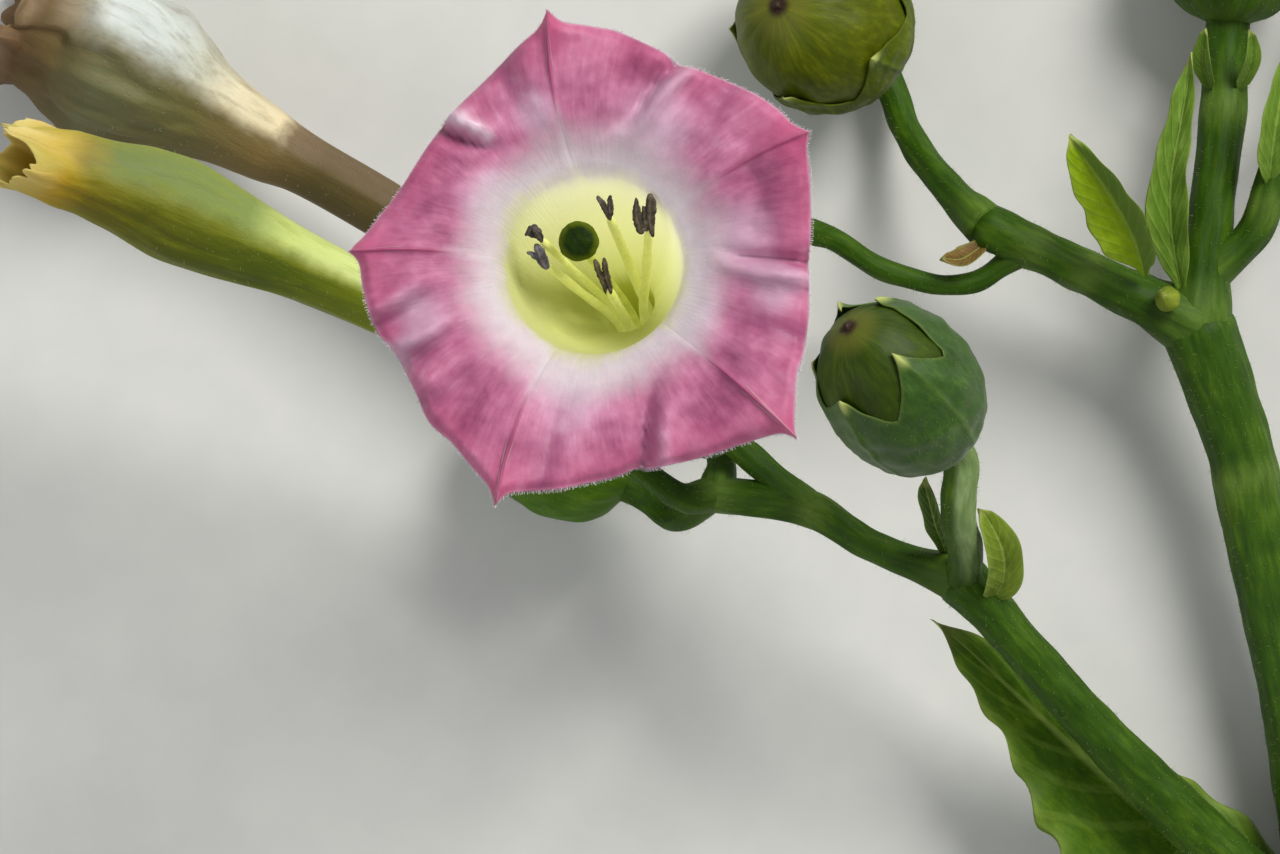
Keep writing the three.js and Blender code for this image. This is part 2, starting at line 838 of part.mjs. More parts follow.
// The branch lies on its lowest point, in the middle of its own box.
const box = new THREE.Box3().setFromObject(branch);
const centre = box.getCenter(new THREE.Vector3());
branch.position.set(-centre.x, -centre.y, -box.min.z);

const part = new THREE.Group();
part.add(branch);

export default part;
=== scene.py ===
import bpy
import numpy as np
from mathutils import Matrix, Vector


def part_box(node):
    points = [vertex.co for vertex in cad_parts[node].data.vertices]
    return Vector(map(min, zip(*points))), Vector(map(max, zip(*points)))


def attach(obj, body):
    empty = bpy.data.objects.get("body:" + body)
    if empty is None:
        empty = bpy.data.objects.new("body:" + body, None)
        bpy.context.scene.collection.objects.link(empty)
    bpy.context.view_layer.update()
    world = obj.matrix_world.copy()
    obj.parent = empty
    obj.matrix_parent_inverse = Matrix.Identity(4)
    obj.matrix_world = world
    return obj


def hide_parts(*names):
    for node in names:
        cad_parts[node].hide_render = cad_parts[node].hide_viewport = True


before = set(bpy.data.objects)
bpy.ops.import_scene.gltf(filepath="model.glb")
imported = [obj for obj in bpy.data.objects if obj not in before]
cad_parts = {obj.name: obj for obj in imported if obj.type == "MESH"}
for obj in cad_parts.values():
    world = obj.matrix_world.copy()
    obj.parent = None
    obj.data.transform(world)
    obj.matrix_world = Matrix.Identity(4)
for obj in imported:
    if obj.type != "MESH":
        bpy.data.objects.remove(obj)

mm = 0.001
budMiddle = np.array([36.6, 8.9, 11.4])  # the small bud's middle, known in both frames
budBox = [np.array(corner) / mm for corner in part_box("bud_small")]
shift = (budBox[0] + budBox[1]) / 2 - budMiddle
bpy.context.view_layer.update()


def unit(vectors):
    # Each vector divided by its own length.
    return vectors / np.maximum(np.linalg.norm(vectors, axis=-1, keepdims=True), 1e-12)


def smoothStep(low, high, value):
    # 3 * share ** 2 - 2 * share ** 3, where share runs from 0 at low to 1 at high.
    share = np.clip((value - low) / (high - low), 0, 1)
    return share * share * (3 - 2 * share)


def bell(distance, width):
    # One at no distance, falling like a bell to nothing over about two widths.
    return np.exp(-((distance / width) ** 2))


def circle(count):
    # Turns in equal steps once round.
    return np.linspace(0, 2 * np.pi, count, endpoint=False)


def ripples(points, length, seed):
    # Smooth random swells of about one: a sum of cosine waves of nearly that length, each
    # running its own random way.
    waves = 16
    rng = np.random.default_rng(seed)
    ways = unit(rng.normal(size=(waves, points.shape[-1])))
    ways *= 2 * np.pi / (length * rng.uniform(0.7, 1.6, (waves, 1)))
    phases = rng.uniform(0, 2 * np.pi, waves)
    return np.cos(points @ ways.T + phases).sum(-1) / np.sqrt(waves / 2)


def cubicThrough(stations):
    # A cubic for each stretch between two stations. Its slopes at both ends come from the
    # neighbours, weighted by the square roots of their distances.
    perStretch = 40
    stops = np.asarray(stations, float)
    stops = np.vstack([2 * stops[:1] - stops[1:2], stops, 2 * stops[-1:] - stops[-2:-1]])
    gaps = np.sqrt(np.linalg.norm(np.diff(stops[:, :3], axis=0), axis=1)) + 1e-6
    reach = np.linspace(0, len(stops) - 3, perStretch * (len(stops) - 3) + 1)
    k = np.minimum(reach.astype(int), len(stops) - 4)
    t = (reach - k)[:, None]
    p0, p1, p2, p3 = stops[k], stops[k + 1], stops[k + 2], stops[k + 3]
    d0, d1, d2 = (gaps[k + i][:, None] for i in range(3))
    leave = ((p1 - p0) / d0 - (p2 - p0) / (d0 + d1) + (p2 - p1) / d1) * d1
    arrive = ((p2 - p1) / d1 - (p3 - p1) / (d1 + d2) + (p3 - p2) / d2) * d1
    bend = 3 * (p2 - p1) - 2 * leave - arrive
    twist = 2 * (p1 - p2) + leave + arrive
    return p1 + leave * t + bend * t**2 + twist * t**3


def evenPath(stations, rows):
    # The cubic through the stations, cut into equal lengths. Gives the rows and how far along
    # each one lies.
    dense = cubicThrough(stations)
    steps = np.linalg.norm(np.diff(dense[:, :3], axis=0), axis=1)
    walked = np.concatenate([[0], np.cumsum(steps)])
    far = walked[-1] * np.linspace(0, 1, rows)
    return np.stack([np.interp(far, walked, column) for column in dense.T], 1), far


def readCurve(pairs, value):
    # The height of a smooth curve through (place, height) pairs.
    dense = cubicThrough([(place, height, 0) for place, height in pairs])
    return np.interp(value, dense[:, 0], dense[:, 1])


def levelSides(axis):
    # Two directions square to an axis. The first is level.
    level = unit(np.cross(axis, (0, 0, 1)))
    return level, unit(np.cross(axis, level))


def carriedSides(points):
    # Two directions square to a path, carried from row to row with no twist.
    tangents = unit(np.gradient(points, axis=0))
    first = levelSides(tangents[0])[0]
    firsts = []
    for tangent in tangents:
        first = unit(first - tangent * (first @ tangent))
        firsts.append(first)
    firsts = np.array(firsts)
    return tangents, firsts, np.cross(tangents, firsts)


def sweep(path, sides, turns, radius):
    # A ring round each row of a path: row + radius * (first * cos turn + second * sin turn).
    first, second = (np.atleast_2d(side)[:, None] for side in sides)
    around = first * np.cos(turns)[..., None] + second * np.sin(turns)[..., None]
    return path[:, None] + radius[..., None] * around


def triple(*channels):
    # Three channels side by side, spread to one shape.
    return np.stack(np.broadcast_arrays(*channels), -1).astype(float)


def straightened(turns, radius, far):
    # Where a swept point would lie if its path were straight: (radius * cos turn, radius * sin
    # turn, far). Patterns that follow a piece read it.
    return triple(radius * np.cos(turns), radius * np.sin(turns), far)


def gridNormals(points):
    # The direction square to both lines of the grid at each point.
    across = np.roll(points, -1, 1) - np.roll(points, 1, 1)
    return unit(np.cross(across, np.gradient(points, axis=0)))


def crowded(count, pull):
    # Shares from 0 up to 1, closer together near both ends.
    share = np.arange(count) / count
    return share - pull * np.sin(2 * np.pi * share) / (2 * np.pi)


def backed(grid, back):
    # A grid and then its rows named in back, for a wall that returns inside.
    return np.concatenate([grid, grid[back]])


class Shape:
    # Gathers grids of points into one mesh. Rows run along a grid and columns round it, and a
    # fan of faces closes each end.
    def __init__(self):
        self.points, self.faces, self.paints, self.values = [], [], [], {}
        self.size = 0

    def add(self, points, paint=0, **values):
        # Four-cornered faces between neighbouring rows and columns. They are turned the other
        # way round if the volume that they close comes out below nothing.
        rows, columns = points.shape[:2]
        flat = [points.reshape(-1, 3)]
        extra = {key: [value.reshape(-1, 3)] for key, value in values.items()}
        i, j = np.meshgrid(np.arange(rows - 1), np.arange(columns), indexing="ij")
        a = i * columns + j
        b = i * columns + (j + 1) % columns
        quads = np.stack([a, b, b + columns, a + columns], -1).reshape(-1, 4)
        fans = []
        for row in (0, rows - 1):
            hub = rows * columns + len(fans)
            ring = row * columns + np.arange(columns)
            fan = np.stack([np.full(columns, hub), ring, np.roll(ring, -1)], 1)
            fans.append(fan if row else fan[:, ::-1])
            flat.append(points[row].mean(0, keepdims=True))
            for key, value in values.items():
                extra[key].append(value[row].mean(0, keepdims=True))
        flat, fans = np.vstack(flat), np.vstack(fans)
        triangles = np.vstack([quads[:, :3], quads[:, [0, 2, 3]], fans])
        corners = (flat - flat.mean(0))[triangles]
        volume = (corners[:, 0] * np.cross(corners[:, 1], corners[:, 2])).sum()
        turned = slice(None, None, -1 if volume < 0 else 1)
        values = {key: np.vstack(value) for key, value in extra.items()}
        self.join(flat, quads[:, turned], fans[:, turned], paint, values)

    def join(self, points, quads, triangles, paint, values):
        self.faces += (quads + self.size).tolist() + (triangles + self.size).tolist()
        self.paints.append(np.full(len(quads) + len(triangles), paint))
        for key, value in values.items():
            self.values.setdefault(key, []).append(value)
        self.points.append(points)
        self.size += len(points)

    def make(self, name, finishes, replaces=()):
        mesh = bpy.data.meshes.new(name)
        mesh.from_pydata(((np.vstack(self.points) + shift) * mm).astype(float), [], self.faces)
        for key, values in self.values.items():
            layer = mesh.attributes.new(key, "FLOAT_VECTOR", "POINT")
            layer.data.foreach_set("vector", np.vstack(values).astype(np.float32).ravel())
        for finish in finishes:
            mesh.materials.append(finish.material)
        mesh.polygons.foreach_set("material_index", np.concatenate(self.paints).astype(np.int32))
        mesh.polygons.foreach_set("use_smooth", np.ones(len(mesh.polygons), bool))
        mesh.update()
        piece = bpy.data.objects.new(name, mesh)
        bpy.context.scene.collection.objects.link(piece)
        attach(piece, "root")
        if replaces:
            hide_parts(*replaces)


def pieceName(node):
    # Such as skinCalyxNear for calyx_near.
    return "skin" + "".join(word.capitalize() for word in node.split("_"))


def dress(node, finish, slot, grid, **values):
    # One grid as the piece that stands in for one node.
    shape = Shape()
    shape.add(grid, **values)
    shape.make(pieceName(node), [finish], [node])


def colour(red, green, blue):
    # A colour given from 0 to 255 as it looks on a screen.
    screen = np.array([red, green, blue]) / 255
    linear = np.where(screen <= 0.04045, screen / 12.92, ((screen + 0.055) / 1.055) ** 2.4)
    return (*linear.tolist(), 1)


class Signal:
    # One output of a node. Arithmetic on it adds Math nodes.
    def __init__(self, finish, socket):
        self.finish, self.socket = finish, socket

    def math(self, operation, *values):
        return self.finish.node("Math", {"operation": operation}, values)

    def __add__(self, other):
        return self.math("ADD", self, other)

    def __sub__(self, other):
        return self.math("SUBTRACT", self, other)

    def __rsub__(self, other):
        return self.math("SUBTRACT", other, self)

    def __mul__(self, other):
        return self.math("MULTIPLY", self, other)

    def __truediv__(self, other):
        return self.math("DIVIDE", self, other)

    def __rtruediv__(self, other):
        return self.math("DIVIDE", other, self)

    def __abs__(self):
        return self.math("ABSOLUTE", self)

    __radd__, __rmul__ = __add__, __mul__


class Finish:
    # One material. node adds any shader node by its type, settings and socket values.
    def __init__(self, name, **fixed):
        self.material = bpy.data.materials.new(name)
        self.material.use_nodes = True
        self.tree = self.material.node_tree
        self.shader = self.tree.nodes["Principled BSDF"]
        for key, value in fixed.items():
            self.feed(key.replace("_", " "), value)

    def node(self, kind, settings=None, values=(), output=0):
        made = self.tree.nodes.new("ShaderNode" + kind)
        settings = dict(settings or {})
        for place, (position, tint) in enumerate(settings.pop("stops", ())):
            elements = made.color_ramp.elements
            stop = elements[place] if place < 2 else elements.new(position)
            stop.position, stop.color = position, tint
        for key, value in settings.items():
            setattr(made, key, value)
        for key, value in values.items() if isinstance(values, dict) else enumerate(values):
            self.plug(value, made.inputs[key])
        return Signal(self, made.outputs[output])

    def plug(self, value, socket):
        if isinstance(value, Signal):
            self.tree.links.new(value.socket, socket)
        else:
            socket.default_value = value

    def feed(self, name, value):
        self.plug(value, self.shader.inputs[name])

    def place(self):
        return self.node("TexCoord", output="Object")

    def read(self, name):
        return self.node("Attribute", {"attribute_name": name}, output="Vector")

    def channels(self, vector):
        # The three numbers of a vector, or of the attribute of that name.
        vector = self.read(vector) if isinstance(vector, str) else vector
        split = self.node("SeparateXYZ", values=[vector])
        return [Signal(self, socket) for socket in split.socket.node.outputs]

    def stretched(self, vector, scale):
        return self.node("VectorMath", {"operation": "MULTIPLY"}, [vector, scale])

    def noise(self, vector, scale, detail=2.0, roughness=0.5):
        values = {"Vector": vector, "Scale": scale, "Detail": detail, "Roughness": roughness}
        return self.node("TexNoise", values=values)

    def cells(self, vector, scale, feature="F1"):
        return self.node("TexVoronoi", {"feature": feature}, {"Vector": vector, "Scale": scale})

    def between(self, value, low, high):
        # 0 below low, 1 above high, with a smooth step between.
        settings = {"interpolation_type": "SMOOTHSTEP"}
        return self.node("MapRange", settings, {"Value": value, "From Min": low, "From Max": high})

    def mix(self, share, first, second, blend="MIX"):
        # first and second are signals, or colours as they look on a screen.
        tones = [tone if isinstance(tone, Signal) else colour(*tone) for tone in (first, second)]
        settings = {"data_type": "RGBA", "blend_type": blend}
        return self.node("Mix", settings, {0: share, 6: tones[0], 7: tones[1]}, output=2)

    def over(self, tone, *layers):
        # Each layer is (share, colour) and lies over the ones before it.
        for share, tint in layers:
            tone = self.mix(share, tone, tint)
        return tone

    def ramp(self, value, *stops):
        stops = [(position, colour(*tint)) for position, tint in stops]
        return self.node("ValToRGB", {"stops": stops}, [value])

    def relief(self, *layers):
        # Bumps over one another, each as (height, its real height in millimetres, strength).
        under = {}
        for height, depth, strength in layers:
            values = {"Height": height, "Distance": depth * mm, "Strength": strength, **under}
            under = {"Normal": self.node("Bump", values=values, output="Normal")}
        self.feed("Normal", under["Normal"])


# A green, downy skin: streaks along the piece, pale flecks, a light bloom and fine bumps.
greens = {
    "stem": dict(
        dark=(30, 58, 0), mid=(50, 82, 2), light=(82, 112, 16), streak=0.16, fleck=0.2, rough=0.56
    ),
    "calyx": dict(
        dark=(34, 62, 1), mid=(52, 84, 4), light=(80, 110, 20), streak=0.3, fleck=0.16, rough=0.54
    ),
    "capsule": dict(
        dark=(38, 58, 0), mid=(56, 78, 2), light=(80, 102, 10), streak=0.5, fleck=0.15, rough=0.46
    ),
    "bract": dict(
        dark=(42, 76, 1), mid=(68, 104, 4), light=(108, 138, 20), streak=0.3, fleck=0.2, rough=0.54
    ),
}


def greenTones(finish, look):
    # From dark to light with the skin's own shade.
    places = ((0.3, "dark"), (0.52, "mid"), (0.72, "light"))
    return finish.ramp(finish.shade, *[(position, look[key]) for position, key in places])


def greenFinish(name, kind, tint):
    # The skin's place along the piece comes from its straightened coordinates.
    look = dict(greens[kind], **tint)
    gloss, sheen = look.get("gloss", 0.18), look.get("sheen", 0.02)
    finish = Finish(name, Specular_IOR_Level=gloss, Sheen_Weight=sheen, Sheen_Roughness=0.4)
    finish.skin = finish.read("skin")
    along = finish.stretched(finish.skin, (1, 1, look["streak"]))
    finish.streaks = finish.noise(along, 2.2, 4, 0.6)
    finish.shade = finish.streaks * 0.55 + finish.noise(finish.skin, 0.33, 3) * 0.45
    flecks = finish.between(finish.noise(finish.skin, 5.5, 2, 0.6), 0.62, 0.74)
    finish.tone = finish.mix(flecks * look["fleck"], greenTones(finish, look), look["light"])
    finish.feed("Roughness", look["rough"] + finish.streaks * 0.16 - 0.06)
    return finish


def closeGreen(finish, tone, relief=None, depth=0.05):
    # The skin's fine grain over the piece's own relief, or over its streaks.
    pores = finish.noise(finish.skin, 9.0, 1)
    finish.relief((relief or finish.streaks, depth, 0.8), (pores, 0.02, 0.5))
    finish.feed("Base Color", tone)
    return finish


def stemFinish(name, **tint):
    # mark holds (how near a node, cut face, share along). The cut face has rings of pith, whose
    # widest is as far out as the stem's skin.
    finish = greenFinish(name, "stem", tint)
    node, cut, along = finish.channels("mark")
    # paler near the scars and collars: the scars' own colour partly, a painted highlight partly
    tone = finish.mix(node * (finish.streaks * 0.7), finish.tone, (112, 138, 58))
    if tint:
        # painted light: a paler copy of the stem green fades in from the root and lies on the side
        # towards the light
        turned = finish.channels(finish.skin)[0]
        paintedLitSide = finish.between(along, 0.08, 0.3) * finish.between(turned, -0.6, 0.1)
        tone = finish.mix(paintedLitSide, greenTones(finish, greens["stem"]), tone)
    skinRadius = 3.2
    flat = finish.stretched(finish.skin, (1, 1, 0))
    pith = finish.ramp(
        finish.node("VectorMath", {"operation": "LENGTH"}, [flat], output=1) / skinRadius,
        (0.0, (214, 218, 176)),
        (0.62, (196, 204, 142)),
        (0.72, (112, 140, 62)),
        (0.84, (170, 186, 110)),
        (0.95, (86, 118, 40)),
    )
    return closeGreen(finish, finish.mix(cut, tone, pith))


def calyxFinish(name, **tint):
    # mark holds (share from foot to edge, rib, tip of a tooth). Its layers are a net of veins,
    # ribs, the edge, the tips and the foot.
    finish = greenFinish(name, "calyx", tint)
    level, rib, tip = finish.channels("mark")
    net = finish.cells(finish.stretched(finish.skin, (1, 1, 0.6)), 1.9, "DISTANCE_TO_EDGE")
    tone = finish.over(
        finish.tone,
        ((1 - finish.between(net, 0.0, 0.12)) * 0.07, (104, 134, 46)),
        (rib * 0.2, (92, 120, 34)),
        (finish.between(level, 0.955, 1.0) * 0.3, (96, 116, 24)),
        (finish.between(tip, 0.35, 0.9) * 0.85, (180, 190, 104)),
        ((1 - finish.between(level, 0.0, 0.2)) * 0.35, (96, 128, 34)),
    )
    return closeGreen(finish, tone, rib)


def capsuleFinish(name, **tint):
    # mark holds (share from foot to nose, seam, 0). A dull ring lies round the dark nose.
    finish = greenFinish(name, "capsule", tint)
    level, seam, _ = finish.channels("mark")
    tone = finish.over(
        finish.tone,
        (seam * 0.5, (70, 92, 20)),
        (finish.between(level, 0.93, 0.985) * 0.45, (112, 112, 44)),
        (finish.between(level, 0.988, 0.997), (52, 36, 24)),
    )
    return closeGreen(finish, tone, finish.noise(finish.skin, 1.6, 3), 0.04)


def bractFinish(name, paintedShadeHalf=None, **tint):
    # mark holds (place across from -1 to 1, share along, nearness to the edge). The colour given
    # for the right half is the one to which the half below zero turns, painted shade on the half
    # away from the light. Nine pairs of veins slant to the midrib.
    finish = greenFinish(name, "bract", tint)
    across, along, edge = finish.channels("mark")
    side, tone = abs(across), finish.tone
    if paintedShadeHalf:
        tone = finish.mix((1 - finish.between(across, -0.2, 0.1)) * 0.8, tone, paintedShadeHalf)
    pairs, slant, fullTurn = 9, 2.2, 6.283
    angle = (along * pairs - side * slant) * fullTurn
    wave = angle.math("SINE", angle)
    veins = finish.between(wave + finish.noise(finish.skin, 1.2) * 0.8, 0.9, 1.35)
    midrib = 1 - finish.between(side, 0.02, 0.1)
    tone = finish.over(
        tone,
        (veins * 0.14, (150, 178, 72)),
        (midrib * 0.4, (160, 184, 88)),
        (edge * 0.35, (160, 180, 86)),
        (finish.between(along, 0.9, 1.0) * 0.5, (180, 186, 104)),
    )
    return closeGreen(finish, tone, veins * 0.4 + midrib, 0.06)


def petalFinish():
    # skin holds (cos turn, sin turn, reach), mark (reach, mm to the nearest vein, outer wall),
    # fold (place between veins, crease, nearness to a tip) and spots (pale, deep, and glossy with a
    # painted highlight).
    # reach is 0 at the throat's lip, 1 at the rim and about -2.7 where the tube starts.
    finish = Finish(
        "pinkPetal",
        Specular_IOR_Level=0.4,
        Sheen_Weight=0.12,
        Sheen_Roughness=0.4,
        Subsurface_Weight=0.2,
        Subsurface_Radius=(0.9, 0.45, 0.4),
        Subsurface_Scale=0.8 * mm,
        # the emission is a painted glow in the throat
        Emission_Strength=0.6,
    )
    skin, place = finish.read("skin"), finish.place()
    reach, vein, outer = finish.channels("mark")
    between, crease, tip = finish.channels("fold")
    pale, deep, shiny = finish.channels("spots")
    rays = finish.noise(finish.stretched(skin, (9, 9, 2.2)), 1.0, 3, 0.55)
    fineRays = finish.noise(finish.stretched(skin, (34, 34, 5)), 1.0, 3, 0.55)
    blotch = finish.noise(place, 240.0, 2, 0.45)
    mottle = finish.noise(place, 1000.0, 2, 0.5)
    grain = finish.noise(place, 7000.0, 1)
    # the limb's pink, darker at its rim, tips and veins, with painted shade in its creases, and
    # deeper and paler in soft spots that are partly its own colour, partly painted light and shade
    shade = blotch * 0.36 + rays * 0.14 + fineRays * 0.22 + mottle * 0.28
    veinLine = (1 - finish.between(vein, 0.04, 0.3)) * finish.between(reach, 0.12, 0.6)
    besideVein = (1 - finish.between(vein, 0.2, 1.6)) * finish.between(reach, 0.4, 0.8)
    pink = finish.over(
        finish.ramp(
            shade - deep * 0.13 + pale * 0.06,
            (0.3, (138, 62, 100)),
            (0.43, (168, 90, 126)),
            (0.55, (188, 114, 148)),
            (0.68, (208, 150, 178)),
        ),
        (finish.between(reach, 0.6, 1.0) * 0.25 + tip * 0.55, (180, 66, 110)),
        (veinLine * 0.55, (150, 50, 92)),
        (besideVein * 0.3, (172, 72, 114)),
        (crease * 0.55, (128, 58, 100)),
    )
    # pale spots and crease shoulders turn lavender, partly painted light
    lavender = finish.mix(mottle, (190, 164, 186), (206, 184, 202))
    faint = finish.between(pale + (blotch - 0.5) * 0.3, 0.2, 1.1)
    limb = finish.mix(faint * 0.55, pink, lavender)
    # the white ring round the throat, with an uneven edge, the pale rim, and a painted highlight on
    # the glossy fold
    halo = reach + (rays - 0.5) * 0.12 + (fineRays - 0.5) * 0.05 + (blotch - 0.5) * 0.1
    halo = halo - between * 0.07 - pale * 0.1 - (1 - finish.between(vein, 0.1, 0.7)) * 0.05
    white = finish.mix(mottle, (192, 180, 188), (212, 202, 206))
    limb = finish.over(
        finish.mix(finish.between(halo, 0.0, 0.4), white, limb),
        (finish.between(reach, 0.98, 1.0) * 0.3, (216, 186, 204)),
        (shiny * 0.75, (236, 218, 230)),
    )
    # the throat, darker and greener down the tube (its own green partly, painted shade in the deep
    # recess partly), and duller on the side away from the light, which is painted shade
    tubeReach = 2.7
    turnX, turnY, _ = finish.channels(skin)
    towards = finish.between(turnX * 0.5 + turnY * 0.85, -0.6, 0.8)
    throat = finish.ramp(
        (reach + (rays - 0.5) * 0.1 + tubeReach) / tubeReach,
        (0.0, (104, 112, 8)),
        (0.55, (136, 142, 20)),
        (0.68, (164, 168, 56)),
        (0.74, (198, 200, 122)),
        (0.84, (214, 214, 162)),
        (1.0, (222, 220, 188)),
    )
    # painted shade: the side away from the light turns a duller olive
    throat = finish.mix((1 - towards) * 0.75, throat, (172, 176, 92))
    inside = finish.mix(finish.between(halo, -0.17, 0.03), throat, limb)
    # the outer wall, green at the tube's foot and along the veins
    tube = finish.ramp(
        reach * 0.2 + fineRays * 0.35 + 0.55,
        (0.2, (196, 206, 146)),
        (0.55, (212, 204, 176)),
        (0.8, (204, 146, 164)),
    )
    limbUnder = finish.mix(0.45, pink, (214, 178, 194))
    under = finish.mix(finish.between(reach, 0.0, 0.5), tube, limbUnder)
    greenVein = (1 - finish.between(vein, 0.1, 0.5)) * 0.5
    under = finish.mix(greenVein, under, (184, 138, 136))
    finish.feed("Base Color", finish.mix(outer, inside, under))
    # painted glow: emission that stands in for light coming through the throat's thin wall, most
    # of it on the side towards the light, and a fainter one deep in the tube
    paintedDeepGlow = 1 - finish.between(reach, -0.95, -0.6)
    paintedGlow = (1 - finish.between(reach, -0.15, 0.2)) * (towards * 0.9 + 0.1)
    paintedGlow = (paintedGlow * (1 - paintedDeepGlow) + paintedDeepGlow * 0.55) * (1 - outer)
    finish.feed("Emission Color", finish.mix(paintedGlow, (0, 0, 0), inside))
    finish.feed("Roughness", 0.6 - crease * 0.12 - shiny * 0.34 + (grain - 0.5) * 0.15)
    finish.relief(
        (rays * 0.5 + fineRays * 0.5, 0.1, 0.6),
        (blotch * 0.5 + mottle * 0.5, 0.14, 0.4),
        (grain, 0.03, 0.45),
    )
    return finish


def stamenFinish(name, *stops):
    # mark holds (share along, groove, 0). The faint glow is painted light: emission that stands in
    # for light from the throat's wall.
    finish = Finish(name, Specular_IOR_Level=0.4, Emission_Strength=0.22)
    place = finish.place()
    groove = finish.channels("mark")[1]
    cloud = finish.noise(place, 900.0, 3, 0.6)
    grain = finish.noise(place, 5200.0, 2, 0.6)
    tone = finish.ramp(cloud * 0.6 + grain * 0.4, *stops)
    # grooves take the darkest tone, painted shade
    tone = finish.mix(groove * 0.6, tone, stops[0][1])
    finish.feed("Base Color", tone)
    finish.feed("Emission Color", tone)
    finish.feed("Roughness", 0.5 + (grain - 0.5) * 0.3)
    finish.relief((cloud, 0.06, 0.5), (grain, 0.05, 0.7))
    return finish


def fadedFinish(name, stops, paintedShadeStops, streakTint):
    # mark holds (share along, rib, how far the skin faces the light). stops are colours from
    # foot to rim on the lit side, partly painted light and painted highlights, and the other list
    # gives painted shade on the far side.
    finish = Finish(
        name,
        Specular_IOR_Level=0.24,
        Sheen_Weight=0.03,
        Subsurface_Weight=0.15,
        Subsurface_Radius=(0.9, 0.6, 0.35),
        Subsurface_Scale=1.0 * mm,
    )
    skin = finish.read("skin")
    along, rib, facing = finish.channels("mark")
    streaks = finish.noise(finish.stretched(skin, (1, 1, 0.12)), 1.7, 4, 0.62)
    cloud = finish.noise(skin, 0.42, 3, 0.6)
    fine = finish.noise(finish.stretched(skin, (1, 1, 0.2)), 7.0, 3, 0.6)
    place = along + (cloud - 0.5) * 0.04
    lit = finish.between(facing + (cloud - 0.5) * 0.24, 0.53, 0.8)
    tone = finish.over(
        finish.mix(lit, finish.ramp(place, *paintedShadeStops), finish.ramp(place, *stops)),
        (finish.between(streaks, 0.45, 0.75) * 0.35, streakTint),
        (rib * 0.3, streakTint),
    )
    finish.feed("Base Color", finish.mix(fine * 0.25, tone, (92, 76, 40), "SOFT_LIGHT"))
    finish.feed("Roughness", 0.46 + streaks * 0.25)
    finish.relief((streaks, 0.16, 0.7), (fine, 0.05, 0.6))
    return finish


def hairFinish(name, root, tip):
    # mark holds (share along the hair, chance, 0).
    finish = Finish(name, Roughness=0.45, Specular_IOR_Level=0.5)
    along, chance, _ = finish.channels("mark")
    tone = finish.over(root, (along, tip), (chance * 0.3, tip))
    finish.feed("Base Color", tone)
    return finish


